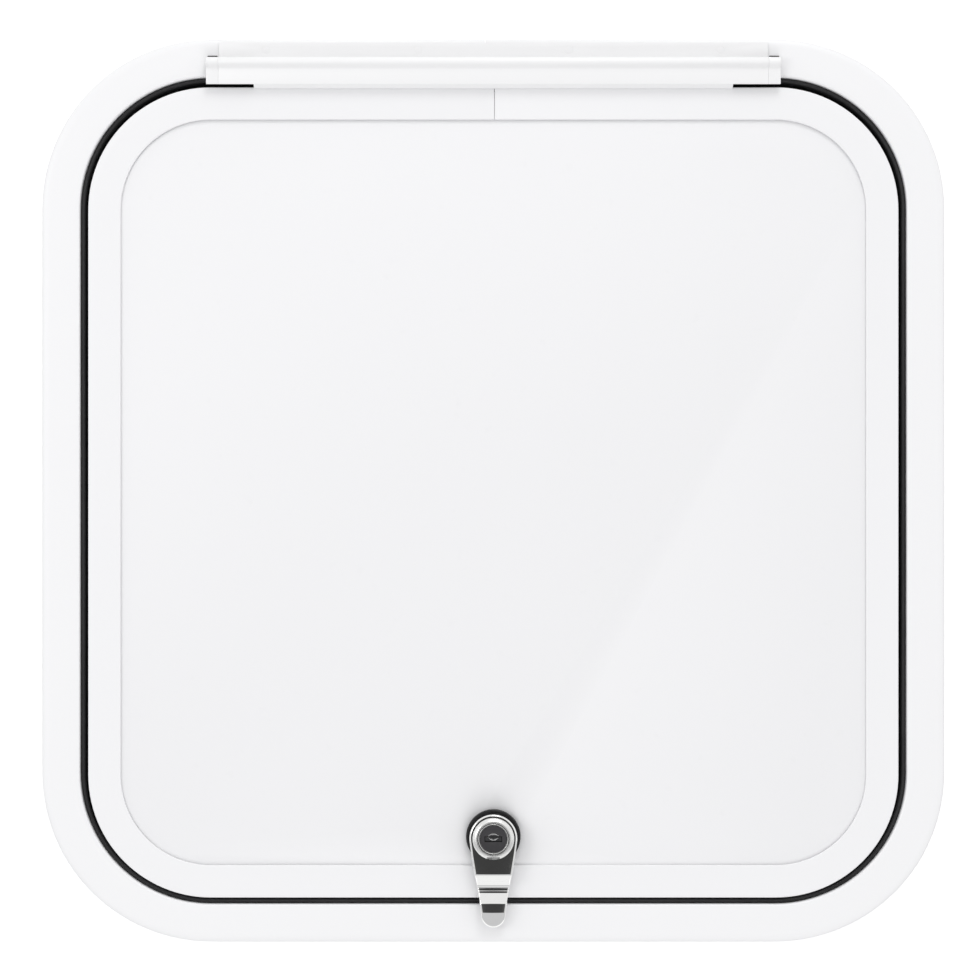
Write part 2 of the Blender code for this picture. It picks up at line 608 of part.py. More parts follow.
def make_spindle():
    """The hollow spindle with its seal, and the cam, washer and nut on its lower end."""
    groove_r, groove_low, groove_top = GROOVE
    profile = [(0, SPINDLE_FLOOR), (SPINDLE_BORE_R, SPINDLE_FLOOR), (SPINDLE_BORE_R, SPINDLE_TOP)]
    profile += [(SPINDLE_R, SPINDLE_TOP), (SPINDLE_R, groove_top), (groove_r, groove_top)]
    profile += [(groove_r, groove_low), (SPINDLE_R, groove_low), (SPINDLE_R, SPINDLE_END)]
    profile += [(0, SPINDLE_END)]
    spindle = turned("lever_spindle", profile, latch_at, ZINC, lever_body)
    half = SHANK_HALF
    square = [(-half, latch_y - half), (half, latch_y - half)]
    square += [(half, latch_y + half), (-half, latch_y + half)]
    boolean(spindle, plate("shank", square, CAM_H[0] - GAP, SPINDLE_END + PAST, ZINC), "UNION")
    stub = straight(THREAD_R, THREAD_END, CAM_H[0])
    boolean(spindle, turned("stub", stub, latch_at, ZINC, steps=24), "UNION")
    width = BOLT[0] / 2 + GAP
    slot(spindle, "spindle_slot", (BOLT_X[0] - SLOT_PLAY, SPINDLE_R + PAST), (-width, width),
         (BOLT[1] - GAP, SPINDLE_FLOOR + GAP), centre=(0, latch_y))
    cord = arc((O_RING[0], (groove_low + groove_top) / 2), O_RING[1], 0, 300, 5)
    turned("spindle_o_ring", cord, latch_at, RUBBER, lever_body, closed=True)
    hub, tip = CAM_HUB_R, CAM_WIDTH / 2
    plan = arc((0, latch_y), hub, 180, 0, 12)
    plan += arc((0, latch_y - CAM_REACH + tip), tip, 0, -180, 12)
    cam = plate("latch_cam", plan, *CAM_H, ZINC, lever_body)
    fit = half + GAP
    low, top = CAM_H
    slot(cam, "cam_square", (-fit, fit), (-fit, fit), (low - PAST, top + PAST), centre=(0, latch_y))
    outer, thickness = CAM_WASHER
    washer("cam_washer", THREAD_R + GAP, outer, low - thickness, low - GAP, latch_at, ZINC,
           lever_body)
    across, height = CAM_NUT
    nut_top = low - thickness - GAP
    flats = hexagon((0, latch_y), across)
    nut = plate("cam_nut", flats, nut_top - height, nut_top, ZINC, lever_body)
    hole = straight(THREAD_R + GAP, nut_top - height - PAST, nut_top + PAST)
    drill(nut, "cam_nut_drill", hole, latch_at)


def make_lock():
    """The lock inside the spindle: sleeve, plug with wafers, shutter and clip, and the bolt."""
    inner, outer = SLEEVE_R
    floor = PLUG_HEAD[1] - GAP
    profile = [(BEZEL_R[0], BEZEL_H[2]), (BEZEL_R[1], BEZEL_H[2]), (BEZEL_R[2], BEZEL_H[1])]
    profile += [(BEZEL_R[2], BEZEL_H[0]), (outer, BEZEL_H[0]), (outer, SLEEVE_END)]
    profile += [(inner, SLEEVE_END), (inner, floor), (BEZEL_R[0], floor)]
    turned("lock_cylinder", profile, latch_at, SATIN, lever_body, closed=True)

    head_r, head_low, head_top = PLUG_HEAD
    profile = [(0, PLUG_TAIL[1]), (PLUG_TAIL[0], PLUG_TAIL[1]), (PLUG_TAIL[0], PLUG_END)]
    profile += [(PLUG_R, PLUG_END), (PLUG_R, head_low), (head_r, head_low), (head_r, head_top)]
    plug = turned("key_plug", profile + [(0, head_top)], latch_at, PLUG, plug_body)
    pin_at = (0, latch_y - PIN_THROW, FACE_Z)
    pin = straight(PIN_R, PIN_END, PLUG_TAIL[1] + PAST)
    boolean(plug, turned("throw_pin", pin, pin_at, PLUG, steps=16), "UNION")
    mouths = (
        ("keyway_mouth", KEYWAY[0] / 2, KEYWAY[1] / 2, KEYWAY[2], head_top + GAP),
        ("key_slot", KEY_SLOT[0] / 2, KEY_SLOT[1] / 2, KEY_SLOT[2], head_top),
    )
    for name, x, y, low, high in mouths:
        slot(plug, name, (-x, x), (-y, y), (low, high), centre=(0, latch_y))
    long, wide, thick = WAFER
    for i, height in enumerate(WAFER_H):
        pocket = (height - GAP, height + thick + GAP)
        y = wide / 2 + GAP
        slot(plug, f"wafer_pocket_{i + 1}", (-outer, outer), (-y, y), pocket, centre=(0, latch_y))
        half_x, corner = long / 2, WAFER_CORNER
        outline = [(half_x, corner - wide / 2), (half_x, wide / 2 - corner)]
        outline += [(half_x - corner, wide / 2), (corner - half_x, wide / 2)]
        outline += [(-half_x, wide / 2 - corner), (-half_x, corner - wide / 2)]
        outline += [(corner - half_x, -wide / 2), (half_x - corner, -wide / 2)]
        outline = [(x, latch_y + y) for x, y in outline]
        wafer = plate(f"plug_wafer_{i + 1}", outline, height, height + thick, BRASS, plug_body)
        x, y = WAFER_WINDOW[0] / 2, WAFER_WINDOW[1] / 2
        slot(wafer, f"wafer_window_{i + 1}", (-x, x), (-y, y), (height - PAST, height + PAST),
             centre=(0, latch_y))
    washer("plug_retaining_clip", PLUG_TAIL[0] + GAP, outer, PLUG_END - CLIP_T, PLUG_END - GAP,
           latch_at, ZINC, plug_body)

    x, y = KEYWAY[0] / 2 - GAP, KEYWAY[1] / 2 - GAP
    flap = [(-x, latch_y - y), (x, latch_y - y), (x, latch_y + y), (-x, latch_y + y)]
    top = head_top - GAP
    plate("keyway_shutter", flap, top - SHUTTER_T, top, ZINC, shutter_body)

    width = BOLT[0] / 2
    bolt_plan = [(BOLT_X[0], latch_y - width), (BOLT_X[1], latch_y - width)]
    bolt_plan += [(BOLT_X[1], latch_y + width), (BOLT_X[0], latch_y + width)]
    bolt = plate("locking_bolt", bolt_plan, BOLT[1], BOLT[2], ZINC, bolt_body)
    play = PIN_R + BOLT_PLAY
    slot(bolt, "bolt_notch", (-play, play), (-BOLT[0], PIN_R + GAP), (BOLT[1] - PAST, 0),
         centre=(0, latch_y))


make_frame()
ring("door_seal", seal_section(), RUBBER)
make_clamp()
door_rim = make_door()
make_hinge(door_rim)
make_latch_base()
make_lever()
make_spindle()
make_lock()
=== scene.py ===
import math

import bpy
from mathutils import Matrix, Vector


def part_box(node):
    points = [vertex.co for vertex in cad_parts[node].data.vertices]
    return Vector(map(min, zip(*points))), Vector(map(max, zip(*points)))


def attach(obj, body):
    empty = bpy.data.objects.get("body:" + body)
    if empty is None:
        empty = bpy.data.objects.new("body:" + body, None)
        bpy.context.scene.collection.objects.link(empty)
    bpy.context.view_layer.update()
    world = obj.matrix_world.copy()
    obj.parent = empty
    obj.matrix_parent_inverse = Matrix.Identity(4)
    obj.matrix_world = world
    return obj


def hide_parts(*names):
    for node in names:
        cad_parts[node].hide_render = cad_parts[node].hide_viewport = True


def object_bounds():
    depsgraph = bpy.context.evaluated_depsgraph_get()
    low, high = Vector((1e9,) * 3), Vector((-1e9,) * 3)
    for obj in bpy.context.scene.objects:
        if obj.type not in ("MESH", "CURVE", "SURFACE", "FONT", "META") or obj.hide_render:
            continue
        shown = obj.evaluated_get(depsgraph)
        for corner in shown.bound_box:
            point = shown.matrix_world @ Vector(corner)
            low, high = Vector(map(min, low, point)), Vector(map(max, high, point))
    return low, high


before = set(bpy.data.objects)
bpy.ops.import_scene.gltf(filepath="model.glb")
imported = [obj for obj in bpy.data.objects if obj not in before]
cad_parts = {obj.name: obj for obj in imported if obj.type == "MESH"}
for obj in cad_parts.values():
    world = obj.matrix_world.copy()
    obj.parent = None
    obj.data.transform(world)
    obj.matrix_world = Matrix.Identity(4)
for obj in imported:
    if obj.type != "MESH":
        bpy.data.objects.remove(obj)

cad_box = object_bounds()

# The room: a pale floor under the loose hatch, a bright studio all round it and a dark ceiling
# right above, which the polished lever mirrors. The camera looks straight down on the hatch.
low, high = cad_box
size = high.x - low.x
flange_low, flange_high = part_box("outer_frame")
face_z = flange_high.z
bpy.context.scene.view_settings.view_transform = "Standard"

CAMERA_UP = 1.15
FRAME_SHARE = 0.9215  # how much of the picture's width the flange takes
LOOK_OFF = (-0.0015, 0.0003)
bpy.ops.object.camera_add(location=(LOOK_OFF[0], LOOK_OFF[1], face_z + CAMERA_UP))
camera = bpy.context.object
camera.data.sensor_width = 36
camera.data.lens = 36 * CAMERA_UP * FRAME_SHARE / size
bpy.context.scene.camera = camera

world = bpy.data.worlds.new("studio")
world.use_nodes = True
bpy.context.scene.world = world
sky = world.node_tree
back = sky.nodes["Background"]
ramp = sky.nodes.new("ShaderNodeValToRGB")  # from the horizon, and all below it, to straight up
split = sky.nodes.new("ShaderNodeSeparateXYZ")
way = sky.nodes.new("ShaderNodeTexCoord")
sky.links.new(way.outputs["Generated"], split.inputs[0])
sky.links.new(split.outputs["Z"], ramp.inputs["Fac"])
stops = ramp.color_ramp.elements
stops[0].position = 0.0
stops[0].color = (0.45, 0.45, 0.45, 1)  # what lies below the horizon
stops[1].position = 1.0
stops[1].color = (0.045, 0.045, 0.045, 1)
for position, grey in ((0.004, 1.0), (0.50, 0.98), (0.70, 0.90), (0.952, 0.90), (0.974, 0.055)):
    stop = stops.new(position)
    stop.color = (grey, grey, grey, 1)
centred = sky.nodes.new("ShaderNodeMath")
centred.operation = "MULTIPLY_ADD"
centred.inputs[1].default_value = 0.5
centred.inputs[2].default_value = 0.5
sky.links.new(split.outputs["Y"], centred.inputs[0])
card = sky.nodes.new("ShaderNodeValToRGB")  # a grey card above the near side of the hatch
sky.links.new(centred.outputs[0], card.inputs["Fac"])
card_stops = card.color_ramp.elements
CARD_FROM, CARD_FULL_FROM, CARD_FULL_TO, CARD_TO = 0.125, 0.15, 0.37, 0.40
card_stops[0].position = CARD_FROM
card_stops[1].position = CARD_TO
card_stops[1].color = (0, 0, 0, 1)
for position in (CARD_FULL_FROM, CARD_FULL_TO):
    stop = card_stops.new(position)
    stop.color = (1, 1, 1, 1)
shade = sky.nodes.new("ShaderNodeMix")
shade.data_type = "RGBA"
shade.blend_type = "DARKEN"
shade.inputs[7].default_value = (0.63, 0.63, 0.64, 1)
sky.links.new(card.outputs["Color"], shade.inputs["Factor"])
sky.links.new(ramp.outputs["Color"], shade.inputs[6])
sky.links.new(shade.outputs[2], back.inputs["Color"])
back.inputs["Strength"].default_value = 0.95

FLOOR_WIDE, FLOOR_GAP, FLOOR_GLOW = 6.0, 0.0003, 0.45
bpy.ops.mesh.primitive_plane_add(size=FLOOR_WIDE, location=(0, 0, low.z - FLOOR_GAP))
floor = bpy.context.object
floor.name = "studio_floor"
floor_finish = bpy.data.materials.new("pale_floor")
floor_finish.use_nodes = True
floor_shader = floor_finish.node_tree.nodes["Principled BSDF"]
floor_shader.inputs["Base Color"].default_value = (0.93, 0.93, 0.93, 1)
floor_shader.inputs["Roughness"].default_value = 0.9
floor_shader.inputs["Emission Color"].default_value = (1, 1, 1, 1)
floor_shader.inputs["Emission Strength"].default_value = FLOOR_GLOW
floor.data.materials.append(floor_finish)
floor.visible_diffuse = False  # its glow would wash out the faces that look down on it


def lamp(name, place, aim, width, watts):
    """A square soft light, turned to face a point."""
    light = bpy.data.lights.new(name, "AREA")
    light.shape = "SQUARE"
    light.size = width
    light.energy = watts
    holder = bpy.data.objects.new(name, light)
    bpy.context.scene.collection.objects.link(holder)
    holder.location = place
    holder.rotation_euler = (Vector(aim) - Vector(place)).to_track_quat("-Z", "Y").to_euler()
    return holder


lamp("left_softbox", (-1.1, 0.2, 1.3), (0, 0, 0), 0.6, 3.4)
lamp("far_softbox", (0.2, 1.35, 0.9), (0, 0, 0), 0.6, 5.6)
fill = lamp("near_softbox", (0.25, -1.3, 1.2), (0, 0, 0), 0.9, 5.8)
fill.visible_glossy = False  # so that it does not mirror in the lever's tip

# Outer frame: one aluminium extrusion bent round four corners, butted at the middle of the hinge
# side and powder coated white. Its wide flange has a rolled edge, and a seat for the seal and a
# boss for the clamp screws run round inside.
CORNER_R = 0.076
CORNER_STEPS = 28
SEAM_GAP = 0.0002
half = size / 2


def only(*pieces):
    """Leaves edit mode and selects these objects and nothing else, with the last one active."""
    if bpy.context.object and bpy.context.object.mode != "OBJECT":
        bpy.ops.object.mode_set(mode="OBJECT")
    bpy.ops.object.select_all(action="DESELECT")
    for piece in pieces:
        piece.select_set(True)
        bpy.context.view_layer.objects.active = piece


def apply_modifier(piece, kind, **settings):
    only(piece)
    modifier = piece.modifiers.new(kind.lower(), kind)
    for name, value in settings.items():
        setattr(modifier, name, value)
    bpy.ops.object.modifier_apply(modifier=modifier.name)


def ease(piece, width, segments=2, turn=50):
    """Rounds the edges of a piece that turn more sharply than the given angle in degrees."""
    apply_modifier(piece, "BEVEL", width=width, segments=segments, angle_limit=math.radians(turn))


def paint(piece, finish):
    piece.data.materials.clear()
    piece.data.materials.append(finish)


def settle(piece, body, *nodes, slot=None, smooth=35):
    """Puts a finished piece's place into its mesh, smooths it and lets it ride on its body."""
    only(piece)
    bpy.ops.object.transform_apply(location=True, rotation=True, scale=True)
    bpy.ops.object.mode_set(mode="EDIT")
    bpy.ops.mesh.select_all(action="SELECT")
    bpy.ops.mesh.remove_doubles(threshold=1e-6)
    bpy.ops.mesh.normals_make_consistent(inside=False)
    bpy.ops.object.mode_set(mode="OBJECT")
    bpy.ops.object.shade_smooth_by_angle(angle=math.radians(smooth))
    if nodes:
        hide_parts(*nodes)
    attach(piece, body)
    return piece


def arc(centre, radius, start, end, steps):
    turns = [math.radians(start + (end - start) * i / steps) for i in range(steps + 1)]
    return [(centre[0] + radius * math.cos(a), centre[1] + radius * math.sin(a)) for a in turns]


def loop_piece(name, points):
    """A closed wire through the given points, left in edit mode with all of it selected."""
    only()
    bpy.ops.mesh.primitive_circle_add(vertices=len(points), radius=0.01)
    piece = bpy.context.object
    piece.name = name
    for vert, point in zip(piece.data.vertices, points):
        vert.co = point
    bpy.ops.object.mode_set(mode="EDIT")
    bpy.ops.mesh.select_all(action="SELECT")
    return piece


def bent_ring(name, section, drop=0.0, seam_x=None):
    """Draws a section of (inset, height) points along the sides and round the four corners.

    It closes on itself, or ends on both sides of a seam when the seam's place is given."""
    start = (seam_x - SEAM_GAP / 2) if seam_x is not None else 0.0
    back_y = half - drop
    points = [(start, back_y - inset, face_z + height) for inset, height in section]
    piece = loop_piece(name, points)
    reach = half - CORNER_R
    straight = 2 * reach
    runs = ((-reach - start, 0), (0, -straight), (straight, 0), (0, straight))
    corners = ((-reach, reach), (-reach, -reach), (reach, -reach), (reach, reach))
    for run, corner in zip(runs, corners):
        bpy.ops.mesh.extrude_region_move(TRANSFORM_OT_translate={"value": (*run, 0)})
        centre = (corner[0], corner[1] - drop, 0)
        bpy.ops.mesh.spin(steps=CORNER_STEPS, angle=-math.pi / 2, center=centre, axis=(0, 0, 1))
    last = start - reach + (SEAM_GAP if seam_x is not None else 0)
    bpy.ops.mesh.extrude_region_move(TRANSFORM_OT_translate={"value": (last, 0, 0)})
    if seam_x is not None:
        bpy.ops.mesh.select_all(action="DESELECT")
        bpy.ops.mesh.select_non_manifold()
        bpy.ops.mesh.fill_holes(sides=0)
    bpy.ops.mesh.select_all(action="SELECT")
    bpy.ops.mesh.remove_doubles(threshold=1e-6)
    bpy.ops.mesh.normals_make_consistent(inside=False)
    bpy.ops.object.mode_set(mode="OBJECT")
    return piece


class Wire:
    """One node's output. Arithmetic on it adds Math nodes to the same material."""

    def __init__(self, finish, socket):
        self.finish = finish
        self.socket = socket

    def math(self, operation, a, b):
        return self.finish.node("ShaderNodeMath", {"operation": operation}, {0: a, 1: b})

    def __add__(self, other):
        return self.math("ADD", self, other)

    def __mul__(self, other):
        return self.math("MULTIPLY", self, other)


class Finish:
    """A material under construction: its nodes, and the Principled shader they feed."""

    def __init__(self, name, metallic=0.0, ior=1.5):
        self.material = bpy.data.materials.new(name)
        self.material.use_nodes = True
        self.tree = self.material.node_tree
        self.shader = self.tree.nodes["Principled BSDF"]
        self.shader.inputs["Metallic"].default_value = metallic
        self.shader.inputs["IOR"].default_value = ior
        self.place = self.node("ShaderNodeTexCoord", out="Object")

    def node(self, kind, settings=None, sockets=None, out=0):
        made = self.tree.nodes.new(kind)
        for name, value in (settings or {}).items():
            if name == "stops":
                ramp = made.color_ramp
                while len(ramp.elements) < len(value):
                    ramp.elements.new(0.5)
                for element, (position, grey) in zip(ramp.elements, value):
                    element.position = position
                    element.color = (grey, grey, grey, 1)
            else:
                setattr(made, name, value)
        for key, value in (sockets or {}).items():
            if isinstance(value, Wire):
                self.tree.links.new(value.socket, made.inputs[key])
            else:
                made.inputs[key].default_value = value
        return Wire(self, made.outputs[out])

    def stretch(self, scale):
        return self.node("ShaderNodeMapping", None, {"Vector": self.place, "Scale": scale})

    def noise(self, scale, detail=2.0, where=None, rough=0.5):
        sockets = {"Scale": scale, "Detail": detail, "Roughness": rough}
        sockets["Vector"] = where or self.place
        return self.node("ShaderNodeTexNoise", None, sockets, out="Fac")

    def ramp(self, value, *stops):
        return self.node("ShaderNodeValToRGB", {"stops": stops}, {"Fac": value}, out="Color")

    def mix(self, share, first, second):
        sockets = {"Factor": share, 6: first, 7: second}
        return self.node("ShaderNodeMix", {"data_type": "RGBA"}, sockets, out=2)

    def set(self, socket, value):
        if isinstance(value, Wire):
            self.tree.links.new(value.socket, self.shader.inputs[socket])
        else:
            self.shader.inputs[socket].default_value = value

    def bump(self, height, depth, strength=1.0):
        sockets = {"Height": height, "Distance": depth, "Strength": strength}
        self.set("Normal", self.node("ShaderNodeBump", None, sockets, out="Normal"))


def powder_coat(name, colour, peel=0.000035, rough=0.40):
    """White powder coat: orange peel, a little cloudiness and specks of dust under the skin."""
    finish = Finish(name)
    cloud = finish.noise(9, 3)
    fleck = finish.ramp(finish.noise(1900, 1), (0.70, 0), (0.78, 1))
    light = tuple(c * 1.012 for c in colour)
    base = finish.mix(cloud, (*colour, 1), (*light, 1))
    dull = tuple(c * 0.90 for c in colour)
    finish.set("Base Color", finish.mix(fleck * 0.35, base, (*dull, 1)))
    finish.set("Roughness", finish.noise(60, 4) * 0.10 + (rough - 0.05))
    peel_height = finish.noise(420, 2.0, rough=0.45)
    finish.bump(peel_height, peel, 0.55)
    return finish.material


FRAME_SEAM_X = -0.0036
EDGE_LOW, EDGE_T = -0.0026, 0.0014  # the turned-down outer edge
SEAT_W, SEAT_TOP, SEAT_LOW, KERB_W, KERB_TOP = 0.00975, -0.0130, -0.0145, 0.0008, -0.0124
BOSS_END, BOSS_TOP, BOSS_SLOT_TOP = 0.02225, -0.0185, -0.0197
BOSS_SLOT = (0.01835, 0.02095)
INNER_EDGE_R = 0.0010
FLANGE_W, FLANGE_T = 0.0170, 0.0016
NECK_T, NECK_END = 0.0015, flange_low.z - face_z
frame_coat = powder_coat("frame_powder_coat", (0.872, 0.872, 0.882))
ROLL_WIDE, ROLL_HIGH = 0.0034, 0.0013
rolled = [(0, EDGE_LOW)]
for x, h in arc((1, -1), 1, 180, 90, 12):
    rolled.append((x * ROLL_WIDE, h * ROLL_HIGH))
rolled += [(0.0110, 0)]
rolled += arc((FLANGE_W - INNER_EDGE_R, -INNER_EDGE_R), INNER_EDGE_R, 90, 0, 6)
seat_end = FLANGE_W + SEAT_W
kerb = seat_end - KERB_W
seat = [(FLANGE_W, SEAT_TOP), (kerb, SEAT_TOP), (kerb, KERB_TOP)]
seat += [(seat_end, KERB_TOP), (seat_end, SEAT_LOW), (FLANGE_W, SEAT_LOW)]
slot_near, slot_far = BOSS_SLOT
boss = [(FLANGE_W, BOSS_TOP), (BOSS_END, BOSS_TOP), (BOSS_END, NECK_END), (slot_far, NECK_END)]
boss += [(slot_far, BOSS_SLOT_TOP), (slot_near, BOSS_SLOT_TOP), (slot_near, NECK_END)]
behind = [(FLANGE_W - NECK_T, NECK_END), (FLANGE_W - NECK_T, -FLANGE_T), (EDGE_T, -FLANGE_T)]
behind += [(EDGE_T, EDGE_LOW)]
outer = bent_ring("frame_extrusion", rolled + seat + boss + behind, seam_x=FRAME_SEAM_X)
paint(outer, frame_coat)
ease(outer, 0.00016)
settle(outer, "frame", "outer_frame", slot="frame_white")


# Deck gasket: closed-cell foam tape stuck round the underside of the flange, where it seals
# the hatch down onto the deck.
def foam_tape_finish():
    finish = Finish("closed_cell_foam_tape")
    cells = finish.ramp(finish.noise(2600, 1), (0.35, 0), (0.62, 1))
    cloud = finish.noise(40, 3)
    tone = finish.mix(cloud, (0.075, 0.075, 0.082, 1), (0.115, 0.115, 0.122, 1))
    finish.set("Base Color", finish.mix(cells, (0.045, 0.045, 0.05, 1), tone))
    finish.set("Roughness", finish.noise(90, 2) * 0.08 + 0.84)
    finish.bump(cells, 0.00006, 0.7)
    return finish.material


TAPE_OUT, TAPE_IN, TAPE_TOP, TAPE_LOW = 0.0017, 0.0152, -0.0019, -0.0030
strip = [(TAPE_OUT, TAPE_TOP), (TAPE_IN, TAPE_TOP), (TAPE_IN, TAPE_LOW), (TAPE_OUT, TAPE_LOW)]
gasket = bent_ring("foam_gasket", strip)
paint(gasket, foam_tape_finish())
ease(gasket, 0.00022, 3)
settle(gasket, "frame", "deck_gasket", slot="foam_tape")


# Frame joint: an aluminium plate behind the butted ends of the extrusion, held to its neck by
# four blind rivets with domed heads.
def refined(node, name, edge, segments=2):
    """A copy of a plain solid, with its flat faces made whole and its edges eased."""
    piece = bpy.data.objects.new(name, bpy.data.objects[node].data.copy())
    bpy.context.scene.collection.objects.link(piece)
    only(piece)
    bpy.ops.object.mode_set(mode="EDIT")
    bpy.ops.mesh.select_all(action="SELECT")
    bpy.ops.mesh.remove_doubles(threshold=2e-6)
    bpy.ops.mesh.dissolve_limited(angle_limit=math.radians(0.5))
    bpy.ops.object.mode_set(mode="OBJECT")
    ease(piece, edge, segments, 30)
    return piece


def bare_metal(name, low, high, rough, grain, depth):
    """Metal with a cloud of two close tones and a fine grain drawn out along the grain vector."""
    finish = Finish(name, metallic=1.0)
    cloud = finish.noise(55, 4)
    lines = finish.noise(500, 2, where=finish.stretch(grain))
    finish.set("Base Color", finish.mix(cloud, (*low, 1), (*high, 1)))
    finish.set("Roughness", lines * 0.12 + cloud * 0.06 + (rough - 0.09))
    finish.bump(lines, depth, 0.5)
    return finish.material


mill_aluminium = bare_metal("mill_aluminium", (0.66, 0.67, 0.69), (0.76, 0.76, 0.77), 0.38,
                            (0.08, 1, 1), 0.00003)
plate = refined("frame_splice_plate", "frame_joint_plate", 0.00018)
paint(plate, mill_aluminium)
settle(plate, "frame", "frame_splice_plate", slot="mill_aluminium")
for number in range(1, 5):
    rivet = refined(f"splice_rivet_{number}", f"joint_rivet_{number}", 0.0001)
    paint(rivet, mill_aluminium)
    settle(rivet, "frame", f"splice_rivet_{number}", slot="mill_aluminium")


# Clamp ring: a second white extrusion under the deck, drawn up to the frame's screw boss by
# eight countersunk cross-head screws.
def turned(name, profile, centre, steps=72, closed=False):
    """A turned solid: a profile of (radius, height) spun round a point on the hatch's face."""
    piece = loop_piece(name, [(centre[0] + r, centre[1], centre[2] + h) for r, h in profile])
    if not closed:
        bpy.ops.object.mode_set(mode="OBJECT")
        last = len(profile) - 1
        for edge in piece.data.edges:
            edge.select = set(edge.vertices) == {0, last}
        for vert in piece.data.vertices:
            vert.select = vert.index in (0, last)
        bpy.ops.object.mode_set(mode="EDIT")
        bpy.ops.mesh.select_mode(type="EDGE")
        bpy.ops.mesh.delete(type="EDGE")
        bpy.ops.mesh.select_mode(type="VERT")
        bpy.ops.mesh.select_all(action="SELECT")
    bpy.ops.mesh.spin(steps=steps, angle=-math.tau, center=centre, axis=(0, 0, 1))
    bpy.ops.mesh.select_all(action="SELECT")
    bpy.ops.mesh.remove_doubles(threshold=1e-6)
    bpy.ops.mesh.normals_make_consistent(inside=False)
    bpy.ops.object.mode_set(mode="OBJECT")
    return piece


def combine(piece, tool, operation="DIFFERENCE"):
    """Cuts a tool's shape out of a piece, or joins or intersects them, and throws it away."""
    apply_modifier(piece, "BOOLEAN", object=tool, operation=operation, solver="EXACT")
    bpy.data.objects.remove(tool, do_unlink=True)


def cut_box(piece, low, high):
    """Cuts a square-cornered pocket, given by two opposite corners."""
    only()
    middle = [(a + b) / 2 for a, b in zip(low, high)]
    sides = [b - a for a, b in zip(low, high)]
    bpy.ops.mesh.primitive_cube_add(size=1, location=middle, scale=sides)
    combine(piece, bpy.context.object)


def zinc_finish():
    """Bright zinc plating: blue-white with a trace of yellow passivation and dull patches."""
    finish = Finish("zinc_plate", metallic=1.0)
    cloud = finish.noise(260, 4)
    passive = finish.ramp(finish.noise(120, 2), (0.50, 0), (0.72, 1))
    tone = finish.mix(cloud, (0.55, 0.57, 0.61, 1), (0.66, 0.67, 0.69, 1))
    finish.set("Base Color", finish.mix(passive * 0.35, tone, (0.66, 0.62, 0.50, 1)))
    finish.set("Roughness", cloud * 0.16 + 0.24)
    finish.bump(finish.noise(1500, 2), 0.00002, 0.5)
    return finish.material


zinc = zinc_finish()
CLAMP_OUT, CLAMP_IN, CLAMP_LOW, CLAMP_TOP = 0.0020, 0.02225, -0.0279, -0.0263
LIP_IN, LIP_TOP = 0.0034, -0.0245  # the clamp's upturned outer lip
clamp_section = [(CLAMP_OUT, CLAMP_LOW), (CLAMP_IN, CLAMP_LOW), (CLAMP_IN, CLAMP_TOP)]
clamp_section += [(LIP_IN, CLAMP_TOP), (LIP_IN, LIP_TOP), (CLAMP_OUT, LIP_TOP)]
clamp = bent_ring("clamp_extrusion", clamp_section)
paint(clamp, powder_coat("clamp_powder_coat", (0.85, 0.85, 0.86)))
ease(clamp, 0.0002)
SCREW_HEAD_R, SCREW_CORE_R, SCREW_INSET, SCREW_AT = 0.0027, 0.0010, 0.01965, 0.090
SINK_R, SINK_HOLE_R = SCREW_HEAD_R + 0.0003, SCREW_CORE_R + 0.0006
screw_line = half - SCREW_INSET
screw_places = [(s * SCREW_AT, t * screw_line) for s in (1, -1) for t in (1, -1)]
screw_places += [(t * screw_line, s * SCREW_AT) for s in (1, -1) for t in (1, -1)]
sink = [(0, -0.001), (SINK_R, -0.001), (SINK_R, 0.0005)]
sink += [(SINK_HOLE_R, 0.0022), (SINK_HOLE_R, 0.004), (0, 0.004)]
screw_shape = [(0, 0.0001), (SCREW_HEAD_R, 0.0001), (SCREW_HEAD_R, 0.0003)]
screw_shape += [(SCREW_CORE_R, 0.0020)]
THREAD_FROM, THREAD_PITCH, THREAD_DEPTH = 0.0022, 0.0004, 0.00016
for turn in range(12):  # the thread, as a stack of small ridges
    crest = THREAD_FROM + THREAD_PITCH * turn
    screw_shape += [(SCREW_CORE_R, crest)]
    screw_shape += [(SCREW_CORE_R - THREAD_DEPTH, crest + THREAD_PITCH / 2)]
screw_shape += [(SCREW_CORE_R, 0.0071), (0, 0.0077)]
for x, y in screw_places:
    combine(clamp, turned("sink", sink, (x, y, low.z), steps=32))
settle(clamp, "frame", "clamp_ring", slot="clamp_white")
CROSS_HALF, CROSS_WIDE, CROSS_DEEP = 0.0013, 0.00028, 0.0011
cad_screws = {f"clamp_ring_screw_{n}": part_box(f"clamp_ring_screw_{n}") for n in range(1, 9)}
for node, (screw_low, screw_high) in cad_screws.items():
    at = ((screw_low.x + screw_high.x) / 2, (screw_low.y + screw_high.y) / 2, low.z)
    screw = turned(f"cross_head_{node[-1]}", screw_shape, at, steps=32)
    for along, across in ((CROSS_HALF, CROSS_WIDE), (CROSS_WIDE, CROSS_HALF)):
        cut_box(screw, (at[0] - along, at[1] - across, low.z - 0.001),
                (at[0] + along, at[1] + across, low.z + CROSS_DEEP))
    paint(screw, zinc)
    settle(screw, "frame", node, slot="zinc_steel")


# Door seal: black extruded rubber in the frame's seat. A tall fin stands against the neck and
# shows all round the door, and a soft hollow bulb takes the pressure of the door's rim.
def rubber_finish(name, dark, light):
    finish = Finish(name)
    bloom = finish.ramp(finish.noise(30, 5), (0.38, 0), (0.75, 1))
    finish.set("Base Color", finish.mix(bloom, (*dark, 1), (*light, 1)))
    finish.set("Roughness", finish.noise(200, 3) * 0.14 + 0.55)
    finish.bump(finish.noise(1700, 3), 0.00003, 0.6)
    return finish.material


